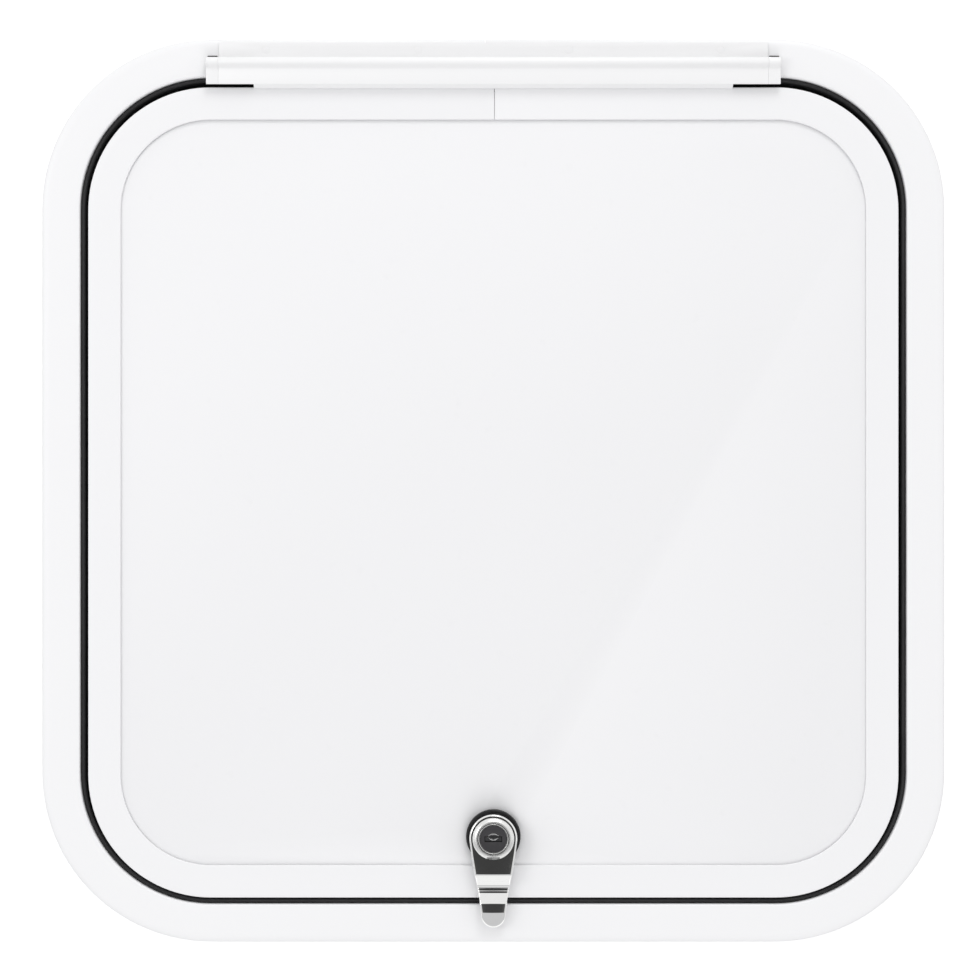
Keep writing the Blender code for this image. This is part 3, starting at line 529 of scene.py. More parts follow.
seal_near = FLANGE_W + 0.0003
FIN_R, FIN_TOP, SEAL_LOW, SEAL_TOP, FILLET = 0.000875, -0.0022, -0.0127, -0.0116, 0.0005
seal_far = FLANGE_W + 0.0079
BULB_AT, BULB_R = (FLANGE_W + 0.0061, SEAL_TOP - 0.0002), 0.0015
seal_section = [(seal_near, SEAL_LOW), (seal_far, SEAL_LOW), (seal_far, SEAL_TOP)]
seal_section += arc(BULB_AT, BULB_R, 8, 172, 14)
fillet_at = (seal_near + 2 * FIN_R + FILLET, SEAL_TOP + FILLET)
seal_section += arc(fillet_at, FILLET, 270, 180, 4)
seal_section += arc((seal_near + FIN_R, FIN_TOP - FIN_R), FIN_R, 0, 180, 10)
seal = bent_ring("rubber_seal", seal_section)
seal_rubber = rubber_finish("seal_rubber", (0.010, 0.010, 0.011), (0.019, 0.019, 0.020))
paint(seal, seal_rubber)
settle(seal, "frame", "door_seal", slot="seal_rubber", smooth=50)


# Door rim: a white powder-coated extrusion bent round the door, butted on the hinge side. Its
# lip laps over the panel's skin, with a low step where the metal gets thinner.
DOOR_DROP, RIM_SEAM_X = 0.0008, 0.0005
DOOR_INSET, RIM_WALL, RIM_DEPTH, LIP_END = 0.0208, 0.0015, 0.0100, 0.0354
OUTER_R, LIP_R, LIP_T, THICK_END, FOOT_END = 0.0006, 0.00045, 0.0009, 0.0254, 0.0300
wall_in = DOOR_INSET + RIM_WALL
rim_section = arc((DOOR_INSET + OUTER_R, -OUTER_R), OUTER_R, 180, 90, 8)
rim_section += [(0.0253, 0), (0.0260, 0), (LIP_END - 0.0012, 0)]
rim_section += arc((LIP_END - LIP_R, -LIP_R), LIP_R, 90, 0, 6)
rim_section += [(LIP_END, -LIP_T), (THICK_END, -LIP_T), (THICK_END, -RIM_WALL)]
rim_section += [(wall_in, -RIM_WALL), (wall_in, RIM_WALL - RIM_DEPTH)]
rim_section += [(FOOT_END, RIM_WALL - RIM_DEPTH), (FOOT_END, -RIM_DEPTH)]
rim_section += [(DOOR_INSET, -RIM_DEPTH)]
rim = bent_ring("rim_extrusion", rim_section, drop=DOOR_DROP, seam_x=RIM_SEAM_X)
paint(rim, powder_coat("rim_powder_coat", (0.860, 0.860, 0.872)))
ease(rim, 0.00012)

rivet_low, rivet_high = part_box("hinge_door_rivet_1")
rivet_z = (rivet_low.z + rivet_high.z) / 2
WEB_INSET, WEB_SINK_R, WEB_HOLE_R = 0.0203, 0.0025, 0.0014
sunk_hole = [(0, -0.001), (WEB_SINK_R, -0.001), (WEB_SINK_R, 0), (WEB_HOLE_R, 0.0011)]
sunk_hole += [(WEB_HOLE_R, 0.004), (0, 0.004)]
RIVETS_X = (-0.102, -0.034, 0.034, 0.102)


def web_sink(x):
    """The countersunk hole for one rivet, lying along the way through the web and the rim."""
    tool = turned("web_sink", sunk_hole, (0, 0, 0), steps=32)
    only(tool)
    tool.rotation_euler = (math.pi / 2, 0, 0)
    tool.location = (x, half - WEB_INSET, rivet_z)
    bpy.ops.object.transform_apply(location=True, rotation=True, scale=True)
    return tool


for x in RIVETS_X:
    combine(rim, web_sink(x))
settle(rim, "door", "door_rim", slot="rim_white")
joint_key = refined("rim_joint_key", "rim_key", 0.0002)
paint(joint_key, mill_aluminium)
settle(joint_key, "door", "rim_joint_key", slot="mill_aluminium")


# Door panel: two white painted aluminium skins bonded to a stiff foam core. The latch
# housing passes through a round hole in all three.
PANEL_INSET, HOLE_R = 0.0257, 0.0097
housing_low, housing_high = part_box("latch_housing")
latch = (0.0, (housing_low.y + housing_high.y) / 2, face_z)
latch_y = latch[1]


def rounded_plan(inset, drop, height):
    reach, points = half - CORNER_R, []
    for number, (sx, sy) in enumerate(((1, 1), (-1, 1), (-1, -1), (1, -1))):
        centre = (sx * reach, sy * reach - drop)
        start = 90 * number
        points += arc(centre, CORNER_R - inset, start, start + 90, CORNER_STEPS)
    return [(x, y, face_z + height) for x, y in points]


def draw_out(way):
    """Fills the closed wire that is being edited and draws it straight out into a solid."""
    bpy.ops.mesh.edge_face_add()
    bpy.ops.mesh.extrude_region_move(TRANSFORM_OT_translate={"value": way})
    bpy.ops.mesh.select_all(action="SELECT")
    bpy.ops.mesh.normals_make_consistent(inside=False)
    bpy.ops.object.mode_set(mode="OBJECT")


def panel_finish():
    """Satin white paint on sheet: barely cloudy, with a faint pebble."""
    finish = Finish("panel_plastic")
    cloud = finish.noise(7, 4)
    fine = finish.noise(160, 3)
    tone = finish.mix(cloud, (0.838, 0.838, 0.850, 1), (0.856, 0.856, 0.868, 1))
    mark = finish.ramp(fine, (0.66, 0), (0.80, 1))
    finish.set("Base Color", finish.mix(mark * 0.30, tone, (0.80, 0.80, 0.81, 1)))
    finish.set("Roughness", fine * 0.10 + cloud * 0.06 + 0.40)
    finish.bump(finish.noise(620, 3), 0.00003, 0.5)
    return finish.material


skin_finish = panel_finish()
for node, name, top, bottom in (("door_outer_skin", "outer_skin", -0.0012, -0.0021),
                                ("door_inner_skin", "inner_skin", -0.0074, -0.0082)):
    skin = loop_piece(name, rounded_plan(PANEL_INSET, DOOR_DROP, bottom))
    draw_out((0, 0, top - bottom))
    drill = [(0, bottom - 0.001), (HOLE_R, bottom - 0.001), (HOLE_R, top + 0.001), (0, top + 0.001)]
    combine(skin, turned("panel_drill", drill, latch))
    ease(skin, 0.00012)
    paint(skin, skin_finish)
    settle(skin, "door", node, slot="panel_white")


def foam_core_finish():
    finish = Finish("rigid_foam")
    cells = finish.node("ShaderNodeTexVoronoi", None, {"Vector": finish.place, "Scale": 1600})
    finish.set("Base Color", finish.mix(cells, (0.62, 0.55, 0.34, 1), (0.78, 0.72, 0.52, 1)))
    finish.set("Roughness", cells * 0.1 + 0.85)
    finish.bump(cells, 0.0001, 0.8)
    return finish.material


paint(bpy.data.objects["door_core"], foam_core_finish())


# Hinge: two white extrusions that hook together. A round bead stands on a leaf riveted to the
# frame, and the door's leaf curls over it, with a moulded cap closing each end.
AXIS = (0.0108, 0.0034)
CURL_IN, CURL_OUT = 0.0015, 0.0022
PLATE_END, PLATE_LOW, PLATE_TOP = 0.0207, 0.0026, 0.0038
LEAF_HALF, MIDDLE_HALF = 0.1233, 0.1075
NECK_TURN, NECK_WIDTH, BEAD_R = math.radians(-48), 0.0010, 0.0012
hinge_coat = powder_coat("hinge_powder_coat", (0.882, 0.882, 0.888), rough=0.34)


def extruded(name, section, start, end):
    """A straight length of an extrusion along X, from its section of (inset, height) points."""
    piece = loop_piece(name, [(start, half - inset, face_z + h) for inset, h in section])
    draw_out((end - start, 0, 0))
    return piece


way = Vector((math.cos(NECK_TURN), math.sin(NECK_TURN)))
aside = Vector((-way.y, way.x)) * NECK_WIDTH / 2
axis = Vector(AXIS)
BASE_END, BASE_LOW, BASE_TOP, STRIP_END, STRIP_TOP = 0.0150, 0.0003, 0.00135, 0.0016, 0.0009
splay = math.degrees(math.asin(NECK_WIDTH / 2 / BEAD_R))
neck_left = axis - aside + way * ((axis.y - aside.y - STRIP_TOP) / -way.y)
neck_right = axis + aside + way * ((axis.y + aside.y - BASE_TOP) / -way.y)
neck_angle = math.degrees(NECK_TURN)
bead = arc(AXIS, BEAD_R, neck_angle + splay, neck_angle + 360 - splay, 48)
leaf_section = [tuple(neck_left), (STRIP_END, STRIP_TOP), (STRIP_END, BASE_LOW)]
leaf_section += [(BASE_END, BASE_LOW), (BASE_END, BASE_TOP), tuple(neck_right)]
frame_leaf = extruded("frame_leaf", leaf_section + bead, -LEAF_HALF, LEAF_HALF)
LEAF_HOLE_R, LEAF_SINK_R, LEAF_RIVETS_IN = 0.0013, 0.00182, 0.0050
hole = [(0, -0.003), (LEAF_HOLE_R, -0.003), (LEAF_HOLE_R, BASE_LOW), (LEAF_SINK_R, STRIP_TOP)]
hole += [(LEAF_SINK_R, 0.003), (0, 0.003)]
for x in RIVETS_X:
    tool = turned("strip_drill", hole, (x, half - LEAF_RIVETS_IN, face_z), steps=32)
    combine(frame_leaf, tool)
ease(frame_leaf, 0.0001, turn=40)
paint(frame_leaf, hinge_coat)
settle(frame_leaf, "frame", "hinge_frame_leaf", slot="hinge_white")

lower = math.degrees(math.asin((PLATE_LOW - AXIS[1]) / CURL_OUT))
BLEND_TURN = math.radians(35)  # where the curl's outside turns to run into the plate
blend_from = axis + CURL_OUT * Vector((math.cos(BLEND_TURN), math.sin(BLEND_TURN)))
run = (blend_from.y - PLATE_TOP) / math.cos(BLEND_TURN)
corner = blend_from + run * Vector((math.sin(BLEND_TURN), -math.cos(BLEND_TURN)))
blend_to = Vector((corner.x + 0.9 * run, PLATE_TOP))
blend = []
for share in (step / 8 for step in range(1, 9)):
    first = blend_from.lerp(corner, share)
    blend.append(tuple(first.lerp(corner.lerp(blend_to, share), share)))
CURL_MOUTH, CURL_END = -18, 165  # in degrees, where the curl's inside starts and where it ends
outside = arc(AXIS, CURL_OUT, CURL_END, math.degrees(BLEND_TURN), 40) + blend
curl = arc(AXIS, CURL_IN, CURL_MOUTH, CURL_END, 40) + outside
back_to_curl = [(AXIS[0] + CURL_OUT * math.cos(math.radians(lower)), PLATE_LOW)]
flat_end = [(PLATE_END, PLATE_TOP), (PLATE_END, PLATE_LOW)]
SLOPE_END, WEB_FAR, WEB_NEAR, WEB_LOW, WEB_TOP = 0.0223, 0.0213, 0.0202, -0.0062, 0.0001
sloped_end = [(PLATE_END - 0.0004, PLATE_TOP), (PLATE_END + 0.0001, 0.0035)]
sloped_end += [(SLOPE_END, 0.0009), (SLOPE_END, WEB_TOP), (WEB_FAR, WEB_TOP)]
sloped_end += [(WEB_FAR, WEB_LOW), (WEB_NEAR, WEB_LOW), (WEB_NEAR, 0.0018), (0.0194, PLATE_LOW)]
door_leaf = extruded("door_leaf", curl + flat_end + back_to_curl, -LEAF_HALF, LEAF_HALF)
middle_leaf = extruded("middle_leaf", curl + sloped_end + back_to_curl, -MIDDLE_HALF, MIDDLE_HALF)
combine(door_leaf, middle_leaf, "UNION")
for x in RIVETS_X:
    combine(door_leaf, web_sink(x))
only(door_leaf)
bpy.ops.object.mode_set(mode="EDIT")
bpy.ops.mesh.select_all(action="SELECT")
bpy.ops.mesh.remove_doubles(threshold=2e-6)
bpy.ops.mesh.dissolve_limited(angle_limit=math.radians(0.3))
bpy.ops.object.mode_set(mode="OBJECT")
ease(door_leaf, 0.00016, turn=25)
paint(door_leaf, hinge_coat)
settle(door_leaf, "door", "hinge_door_leaf", slot="hinge_white")

cap_section = blend[::-1] + arc(AXIS, CURL_OUT, math.degrees(BLEND_TURN), 360 + lower, 60)
cap_section += [(PLATE_END, PLATE_LOW), (PLATE_END, PLATE_TOP)]
CAP_LONG = 0.0052
PAD_NEAR, PAD_FAR, PAD_LOW, PAD_HIGH = 0.0076, 0.0112, 0.0001, 0.0010
shade_pad_section = [(PAD_NEAR, PAD_LOW), (PAD_FAR, PAD_LOW), (PAD_FAR, PAD_HIGH), (PAD_NEAR, PAD_HIGH)]
cap_finish = powder_coat("cap_plastic", (0.872, 0.872, 0.878), peel=0.00002, rough=0.36)
for word, side in (("left", -1), ("right", 1)):
    ends = sorted((side * (LEAF_HALF + 0.00005), side * (LEAF_HALF + 0.0003 + CAP_LONG)))
    cap = extruded(f"end_cap_{word}", cap_section, *ends)
    ease(cap, 0.0003, 3, 40)
    paint(cap, cap_finish)
    settle(cap, "door", f"hinge_end_cap_{word}", slot="hinge_white")
# Painted shade: black rubber pads on the flange under each end cap, dark strips put in the gap
# beneath the cap's rounded back to stand in for the shadow that falls there.
for word, side in (("left", -1), ("right", 1)):
    ends = sorted((side * (LEAF_HALF + 0.0006), side * (LEAF_HALF + CAP_LONG - 0.0001)))
    shade_pad = extruded(f"cap_shade_pad_{word}", shade_pad_section, *ends)
    ease(shade_pad, 0.0002, turn=40)
    paint(shade_pad, seal_rubber)
    settle(shade_pad, "frame", slot="seal_rubber")
for number in range(1, 5):
    for word, finish in (("frame", hinge_coat), ("door", mill_aluminium)):
        node = f"hinge_{word}_rivet_{number}"
        rivet = refined(node, f"leaf_{word}_rivet_{number}", 0.00008)
        paint(rivet, finish)
        settle(rivet, word, node, slot="mill_aluminium")


# Latch housing: a black glass-filled nylon flange and threaded barrel through the panel, on a
# thin rubber gasket, pulled tight from below by a steel washer and a hexagon nut.
def nylon_finish():
    finish = Finish("black_nylon", ior=1.4)
    cloud = finish.noise(130, 4)
    fibre = finish.noise(1100, 3, where=finish.stretch((1, 0.35, 1)))
    finish.set("Base Color", finish.mix(cloud, (0.008, 0.008, 0.009, 1), (0.016, 0.016, 0.017, 1)))
    finish.set("Roughness", fibre * 0.16 + 0.34)
    finish.bump(fibre, 0.00002, 0.6)
    return finish.material


def ring_shape(inner, outer, bottom, top):
    return [(inner, bottom), (outer, bottom), (outer, top), (inner, top)]


def threads(radius, depth, bottom, top, pitch):
    """The outline of a thread, as ridges from the bottom up."""
    points = []
    for turn in range(int((top - bottom) / pitch)):
        height = bottom + turn * pitch
        points += [(radius - depth, height), (radius, height + pitch / 2)]
    return points + [(radius - depth, top)]


small_rubber = rubber_finish("gasket_rubber", (0.018, 0.018, 0.020), (0.030, 0.030, 0.032))
base_gasket = turned("base_gasket", ring_shape(0.0096, 0.01205, -0.0009, -0.0001), latch, 96, True)
ease(base_gasket, 0.00015, 3, 40)
paint(base_gasket, small_rubber)
settle(base_gasket, "door", "latch_base_gasket", slot="small_rubber")

BARREL_R, BORE_R, BASE_R, BASE_LOW_Z, BASE_EDGE_R = 0.0093, 0.0073, 0.01225, 0.0002, 0.0006
BARREL_END, THREAD_END = -0.0140, -0.0086
housing_shape = [(BORE_R, BARREL_END)]
housing_shape += threads(BARREL_R, 0.0003, BARREL_END, THREAD_END, 0.0009)
housing_shape += [(BARREL_R, -0.0084), (BARREL_R, BASE_LOW_Z), (BASE_R, BASE_LOW_Z)]
housing_shape += arc((BASE_R - BASE_EDGE_R, 0.0014), BASE_EDGE_R, 0, 90, 6)
housing_shape += [(0.0112, 0.0020), (0.0111, 0.0018), (BORE_R + 0.0003, 0.0018)]
housing_shape += [(BORE_R, 0.0015)]
housing = turned("housing_body", housing_shape, latch, 96, True)
SLOT_HALF, SLOT_LOW, SLOT_TOP = 0.0030, face_z - 0.0099, face_z - 0.0075
slot_end = BARREL_R + 0.001
cut_box(housing, (0, latch_y - SLOT_HALF, SLOT_LOW), (slot_end, latch_y + SLOT_HALF, SLOT_TOP))
cut_box(housing, (-SLOT_HALF, latch_y, SLOT_LOW), (SLOT_HALF, latch_y + slot_end, SLOT_TOP))
paint(housing, nylon_finish())
settle(housing, "door", "latch_housing", slot="black_housing")

washer = turned("barrel_washer", ring_shape(0.0096, 0.0122, -0.0096, -0.0085), latch, 72, True)
ease(washer, 0.0002, turn=40)
paint(washer, zinc)
settle(washer, "door", "housing_lock_washer", slot="zinc_steel")


def chamfered_nut(node, name, body):
    """A hexagon nut with its corners turned off at both faces."""
    nut_low, nut_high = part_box(node)
    nut = refined(node, name, 0.00005, segments=1)
    across = min(nut_high.x - nut_low.x, nut_high.y - nut_low.y) / 2
    corner = across / math.cos(math.radians(30)) + 0.0002
    bottom, top, chamfer = nut_low.z - face_z, nut_high.z - face_z, (corner - across) * 0.58
    blank = [(0, bottom), (across, bottom), (corner, bottom + chamfer), (corner, top - chamfer)]
    combine(nut, turned("nut_blank", blank + [(across, top), (0, top)], latch, 96), "INTERSECT")
    paint(nut, zinc)
    settle(nut, body, node, slot="zinc_steel", smooth=25)


chamfered_nut("housing_nut", "barrel_nut", "door")


# Lever: polished cast stainless steel, pinned round the head of the spindle. Its arm runs flat,
# dips into a finger hollow with fine grip ridges, rises to a crest and falls to a round tip.
HEAD_R, LEVER_LOW, LEVER_THICK, EDGE_ROUND = 0.0107, 0.0023, 0.0024, 0.00075
HEIGHT_KEYS = ((-0.0120, 0.0083), (0.0162, 0.0083), (0.0215, 0.0048), (0.0224, 0.0046))
HEIGHT_KEYS += ((0.0243, 0.0048), (0.0296, 0.0066), (0.0334, 0.0066), (0.0410, 0.0050))
RIDGE_FROM, RIDGE_TO, RIDGES, RIDGE_HIGH = 0.0211, 0.0247, 3, 0.00006


def lever_top(reach):
    """The height of the lever's top face at a distance from the spindle towards its tip."""
    for (near, first), (far, second) in zip(HEIGHT_KEYS, HEIGHT_KEYS[1:]):
        if reach <= far:
            break
    share = min((reach - near) / (far - near), 1)
    eased = share * share * (3 - 2 * share)
    top = first + (second - first) * (share + eased) / 2
    if RIDGE_FROM < reach < RIDGE_TO:
        along = (reach - RIDGE_FROM) / (RIDGE_TO - RIDGE_FROM)
        top += RIDGE_HIGH * (1 - math.cos(math.tau * RIDGES * along)) / 2
    return top


plan = arc((0, latch_y), HEAD_R, 188, -8, 72)
TIP_AT, TIP_R = 0.0348, 0.0054
arm = ((0.0098, 0.0075), (0.00825, 0.0169), (0.00655, 0.0264), (0.00545, 0.0339))
plan += [(w, latch_y - t) for w, t in arm]
plan += arc((0, latch_y - TIP_AT), TIP_R, 0, -180, 40)
plan += [(-w, latch_y - t) for w, t in reversed(arm)]
lever = loop_piece("lever_casting", [(x, y, 0) for x, y in plan])
bpy.ops.mesh.edge_face_add()
EDGE_RINGS = (0.00003, 0.00007, 0.00011, 0.00015, 0.00018, 0.00021)
for width in EDGE_RINGS:  # rings of faces for the rounded edge, close together at the outline
    bpy.ops.mesh.inset(thickness=width, use_even_offset=True)
cuts = [0.0110 + 0.0008 * i for i in range(7)] + [0.0162 + 0.00016 * i for i in range(156)]
for reach in cuts:
    bpy.ops.mesh.select_all(action="SELECT")
    bpy.ops.mesh.bisect(plane_co=(0, latch_y - reach, 0), plane_no=(0, 1, 0))
bpy.ops.mesh.select_all(action="SELECT")
bpy.ops.mesh.extrude_region_move(TRANSFORM_OT_translate={"value": (0, 0, -0.001)})
bpy.ops.object.mode_set(mode="OBJECT")
sides = list(zip(plan, plan[1:] + plan[:1]))


def edge_distance(x, y):
    """How far a point of the plan is from the lever's outline."""
    nearest = 1.0
    for (ax, ay), (bx, by) in sides:
        dx, dy = bx - ax, by - ay
        share = ((x - ax) * dx + (y - ay) * dy) / (dx * dx + dy * dy)
        share = min(max(share, 0), 1)
        nearest = min(nearest, math.hypot(x - ax - share * dx, y - ay - share * dy))
    return nearest


for vert in lever.data.vertices:
    reach = latch_y - vert.co.y
    top = lever_top(reach)
    away = min(edge_distance(vert.co.x, vert.co.y) / EDGE_ROUND, 1)
    if vert.co.z < -0.0005:
        under = max(LEVER_LOW, top - LEVER_THICK) if reach > HEAD_R else LEVER_LOW
        vert.co.z = face_z + under + 0.0002 * (1 - min(away * 3, 1))
    else:
        vert.co.z = face_z + top - EDGE_ROUND * (1 - math.sqrt(1 - (1 - away) ** 2))
LEVER_BORE_R = 0.0073
bore = [(0, 0), (LEVER_BORE_R, 0), (LEVER_BORE_R, 0.012), (0, 0.012)]
combine(lever, turned("lever_bore", bore, latch, 96))


def polished_finish():
    """Mirror-polished stainless steel, with buffing haze and hairline scratches."""
    finish = Finish("polished_stainless", metallic=1.0)
    haze = finish.noise(110, 3)
    scratch = finish.noise(900, 2, where=finish.stretch((0.06, 1, 1)))
    wear = finish.ramp(finish.noise(350, 4), (0.60, 0), (0.78, 1))
    finish.set("Base Color", finish.mix(haze, (0.91, 0.91, 0.90, 1), (0.96, 0.96, 0.95, 1)))
    finish.set("Roughness", scratch * 0.03 + haze * 0.03 + wear * 0.04 + 0.02)
    finish.bump(scratch, 0.000002, 0.25)
    return finish.material


paint(lever, polished_finish())
settle(lever, "lever", "lever_handle", slot="polished_stainless", smooth=40)


# Spindle: a zinc-plated steel barrel that turns in the housing on a rubber ring. The cam sits on
# its square shank below, held by a washer and a nut on the threaded end.
SPINDLE_R, GROOVE_R, GROOVE_TOP, GROOVE_LOW = 0.0070, 0.0057, -0.0114, -0.0132
spindle_shape = [(0, -0.0075), (0.0059, -0.0075), (0.0059, 0.0077), (0.0061, 0.0080)]
spindle_shape += [(SPINDLE_R - 0.0002, 0.0080), (SPINDLE_R, 0.0078), (SPINDLE_R, GROOVE_TOP)]
spindle_shape += [(GROOVE_R, GROOVE_TOP), (GROOVE_R, GROOVE_LOW), (SPINDLE_R, GROOVE_LOW)]
spindle_shape += [(SPINDLE_R, -0.0143), (SPINDLE_R - 0.0002, -0.0145), (0, -0.0145)]
spindle = turned("spindle_barrel", spindle_shape, latch, 96)
only()
SHANK_WIDE, SHANK_LONG, SHANK_MID = 0.0070, 0.0038, -0.0154
bpy.ops.mesh.primitive_cube_add(size=1, location=(0, latch_y, face_z + SHANK_MID),
                                scale=(SHANK_WIDE, SHANK_WIDE, SHANK_LONG))
shank = bpy.context.object
apply_modifier(shank, "BEVEL", width=0.0004, segments=2)
combine(spindle, shank, "UNION")
stud = [(0, -0.0222)] + threads(0.0028, 0.0002, -0.0222, -0.0168, 0.0006) + [(0, -0.0168)]
combine(spindle, turned("stud", stud, latch, 48), "UNION")
cut_box(spindle, (-0.0048, latch_y - 0.0030, face_z - 0.0099),
        (SPINDLE_R + 0.001, latch_y + 0.0030, face_z - 0.0072))
paint(spindle, zinc)
settle(spindle, "lever", "lever_spindle", slot="zinc_steel")

RING_R, CORD_R = 0.00655, 0.00052
cord = arc((RING_R, (GROOVE_TOP + GROOVE_LOW) / 2), CORD_R, 0, 345, 23)
o_ring = turned("spindle_ring", cord, latch, 96, True)
paint(o_ring, small_rubber)
settle(o_ring, "lever", "spindle_o_ring", slot="small_rubber")

CAM_LOW, CAM_TOP, CAM_HEAD_R, CAM_TIP_R, CAM_REACH = -0.0170, -0.0150, 0.0080, 0.0070, 0.0280
cam_plan = arc((0, latch_y), CAM_HEAD_R, 180, 0, 32)
cam_plan += arc((0, latch_y - CAM_REACH + CAM_TIP_R), CAM_TIP_R, 0, -180, 32)
cam = loop_piece("cam_plate", [(x, y, face_z + CAM_LOW) for x, y in cam_plan])
draw_out((0, 0, CAM_TOP - CAM_LOW))
ease(cam, 0.0003, 3)
EYE = 0.0038  # half the width of the cam's square eye
cut_box(cam, (-EYE, latch_y - EYE, face_z - 0.02), (EYE, latch_y + EYE, face_z - 0.01))
paint(cam, zinc)
settle(cam, "lever", "latch_cam", slot="zinc_steel")

cam_washer = turned("shank_washer", ring_shape(0.0031, 0.0062, -0.0182, -0.0173), latch, 48, True)
ease(cam_washer, 0.0001, turn=40)
paint(cam_washer, zinc)
settle(cam_washer, "lever", "cam_washer", slot="zinc_steel")
chamfered_nut("cam_nut", "shank_nut", "lever")


# Lock: a satin-chromed sleeve in the spindle with a sloped collar, and a black plug inside it
# with brass wafers. A small sprung flap closes the key's mouth.
def satin_finish():
    finish = Finish("satin_chrome", metallic=1.0)
    cloud = finish.noise(210, 3)
    stain = finish.ramp(finish.noise(420, 2), (0.42, 0), (0.66, 1))
    tone = finish.mix(cloud, (0.80, 0.80, 0.79, 1), (0.93, 0.93, 0.92, 1))
    finish.set("Base Color", finish.mix(stain * 0.35, tone, (0.66, 0.66, 0.65, 1)))
    finish.set("Roughness", cloud * 0.14 + stain * 0.06 + 0.20)
    finish.bump(finish.noise(1800, 2), 0.000012, 0.5)
    return finish.material


BEAD_AT, LOCK_BEAD_R = 0.00658, 0.00018
collar = [(0.0064, 0.0088), (0.0064, 0.0097)] + arc((BEAD_AT, 0.0097), LOCK_BEAD_R, 180, 0, 6)
collar += [(0.00676, 0.0090), (0.0071, 0.0090), (0.0071, 0.0100), (0.00722, 0.01015)]
collar += [(0.0075, 0.0102), (0.0081, 0.0100), (0.0092, 0.0092), (0.0093, 0.0090)]
collar += [(0.0093, 0.0086)]
collar += [(0.0056, 0.0086), (0.0056, -0.0063), (0.0048, -0.0063), (0.0048, 0.0088)]
cylinder = turned("lock_sleeve", collar, latch, 128, True)
# Painted shade: a thin black rubber ring laid in the groove between the sleeve's bead and its
# collar, a dark ring that stands in for the shadow down in that narrow groove.
groove_shade_ring = turned("groove_shade_ring", ring_shape(0.0068, 0.00706, 0.0091, 0.00965), latch, 96, True)
paint(groove_shade_ring, small_rubber)
settle(groove_shade_ring, "lever", slot="small_rubber")
cut_box(cylinder, (-0.0029, latch_y - 0.0110, face_z + 0.0087),
        (0.0029, latch_y - 0.0080, face_z + 0.0120))
paint(cylinder, satin_finish())
settle(cylinder, "lever", "lock_cylinder", slot="satin_chrome")


def plug_finish():
    finish = Finish("black_plug_coat")
    cloud = finish.noise(240, 4)
    worn = finish.ramp(finish.noise(700, 3), (0.62, 0), (0.80, 1))
    tone = finish.mix(cloud, (0.030, 0.029, 0.031, 1), (0.044, 0.042, 0.046, 1))
    finish.set("Base Color", finish.mix(worn * 0.3, tone, (0.075, 0.072, 0.078, 1)))
    finish.set("Roughness", cloud * 0.12 + 0.30)
    finish.bump(finish.noise(1500, 2), 0.00001, 0.5)
    return finish.material


PLUG_R, PLUG_TOP = 0.0045, 0.0097
plug_shape = [(0, -0.0072), (0.0033, -0.0072), (0.0033, -0.0063), (PLUG_R, -0.0063)]
plug_shape += [(PLUG_R, 0.0091), (0.0061, 0.0091), (0.0061, PLUG_TOP - 0.00015)]
plug_shape += [(0.00595, PLUG_TOP), (0, PLUG_TOP)]
plug = turned("lock_plug", plug_shape, latch, 96)
PIN_R, PIN_LOW, PIN_TOP, PIN_THROW = 0.0007, -0.0093, -0.0062, 0.0020
pin_shape = [(0, PIN_LOW), (PIN_R, PIN_LOW), (PIN_R, PIN_TOP), (0, PIN_TOP)]
pin = turned("throw_pin", pin_shape, (0, latch_y - PIN_THROW, face_z), 32)
combine(plug, pin, "UNION")
MOUTH, KEYWAY = (0.00395, 0.00125), (0.0034, 0.0008)  # half of their length and width
cut_box(plug, (-MOUTH[0], latch_y - MOUTH[1], face_z + 0.0068),
        (MOUTH[0], latch_y + MOUTH[1], face_z + 0.0100))
cut_box(plug, (-KEYWAY[0], latch_y - KEYWAY[1], face_z - 0.0050),
        (KEYWAY[0], latch_y + KEYWAY[1], face_z + PLUG_TOP))
WAFER_SLOT, WAFER_GAP = (0.0056, 0.0023), 0.0003
for number in range(1, 5):
    wafer_low, wafer_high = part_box(f"plug_wafer_{number}")
    cut_box(plug, (-WAFER_SLOT[0], latch_y - WAFER_SLOT[1], wafer_low.z - WAFER_GAP),
            (WAFER_SLOT[0], latch_y + WAFER_SLOT[1], wafer_high.z + WAFER_GAP))
ease(plug, 0.00006, turn=60)
paint(plug, plug_finish())
settle(plug, "plug", "key_plug", slot="black_plug")

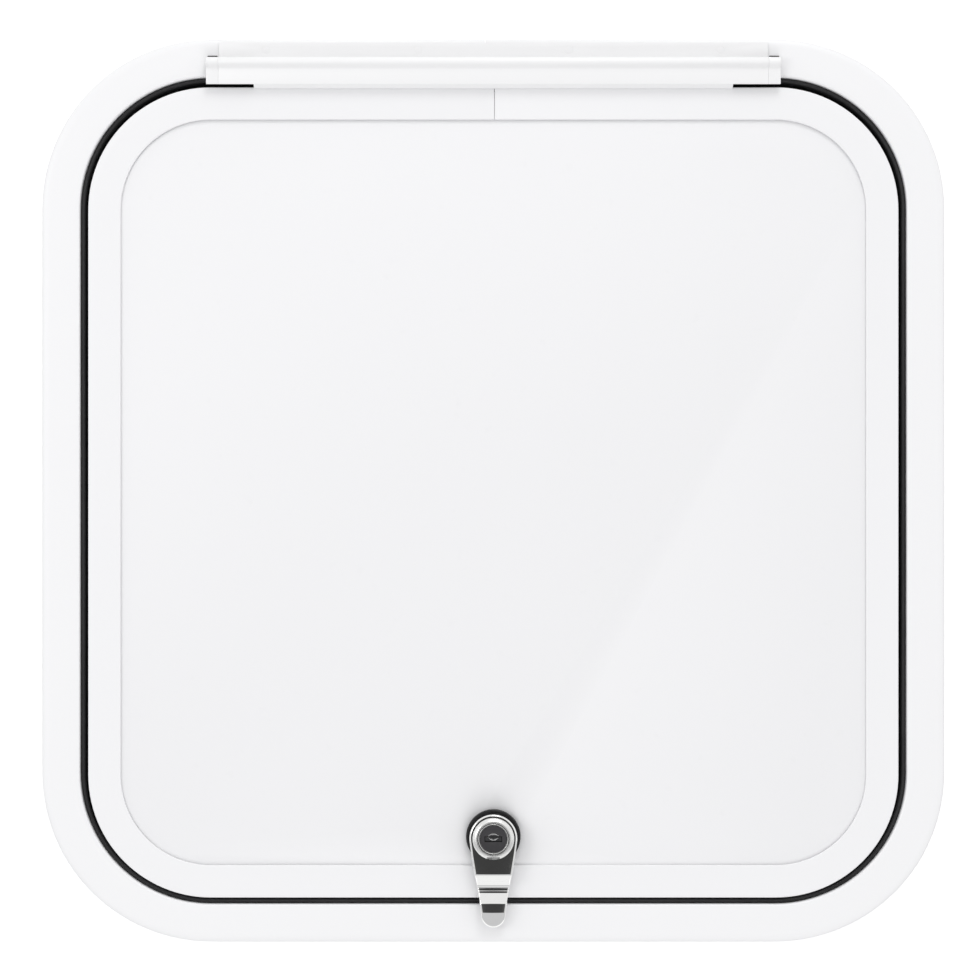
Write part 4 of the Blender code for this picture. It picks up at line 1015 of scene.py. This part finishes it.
brass = bare_metal("wafer_brass", (0.66, 0.47, 0.19), (0.78, 0.58, 0.27), 0.34,
                   (0.1, 1, 1), 0.00002)
for number in range(1, 5):
    wafer = refined(f"plug_wafer_{number}", f"brass_wafer_{number}", 0.00006)
    paint(wafer, brass)
    settle(wafer, "plug", f"plug_wafer_{number}", slot="wafer_brass")
clip = refined("plug_retaining_clip", "plug_clip", 0.00006)
paint(clip, zinc)
settle(clip, "plug", "plug_retaining_clip", slot="zinc_steel")
lock_bolt = refined("locking_bolt", "lock_bolt_bar", 0.00025, segments=3)
paint(lock_bolt, zinc)
settle(lock_bolt, "bolt", "locking_bolt", slot="zinc_steel")


# Key shutter: a small blackened steel flap with a bright pressed lip along its free edge. With
# the bright brow on the plug above it, it makes the lens shape round the key's mouth.
def shutter_finish():
    finish = Finish("blackened_steel", metallic=1.0)
    cloud = finish.noise(900, 3)
    finish.set("Base Color", finish.mix(cloud, (0.050, 0.050, 0.053, 1), (0.085, 0.085, 0.088, 1)))
    finish.set("Roughness", cloud * 0.15 + 0.34)
    return finish.material


LENS_HALF, LIP_WIDE = 0.0024, 0.00042
lip_steel = bare_metal("bright_lip_steel", (0.84, 0.84, 0.83), (0.92, 0.92, 0.91), 0.16,
                       (1, 1, 1), 0.00001)


def crescent(name, height, bottom, top, edge):
    """A thin crescent from corner to corner of the lens, bulging by the given height in Y."""
    points = []
    for inner, way in ((0, 1), (LIP_WIDE, -1)):
        for step in range(21):
            across = -1 + step / 10
            bulge = (1 - across * across) * (abs(height) - inner) + 0.0001 * (inner == 0)
            points.append((way * across * LENS_HALF, math.copysign(bulge, height)))
    piece = loop_piece(name, [(x, edge + y, face_z + bottom) for x, y in points])
    draw_out((0, 0, top - bottom))
    ease(piece, 0.00008)
    return piece


brow = crescent("keyway_brow", 0.00115, 0.00960, 0.00985, latch_y + 0.00135)
paint(brow, lip_steel)
settle(brow, "plug", slot="shutter_steel")
flap = refined("keyway_shutter", "shutter_flap", 0.00006)
paint(flap, shutter_finish())
flap.data.materials.append(lip_steel)
lip = crescent("flap_lip", -0.00125, 0.00935, 0.00960, latch_y + 0.0008)
paint(lip, lip_steel)
only(lip, flap)
bpy.ops.object.join()
settle(flap, "shutter", "keyway_shutter", slot="shutter_steel")
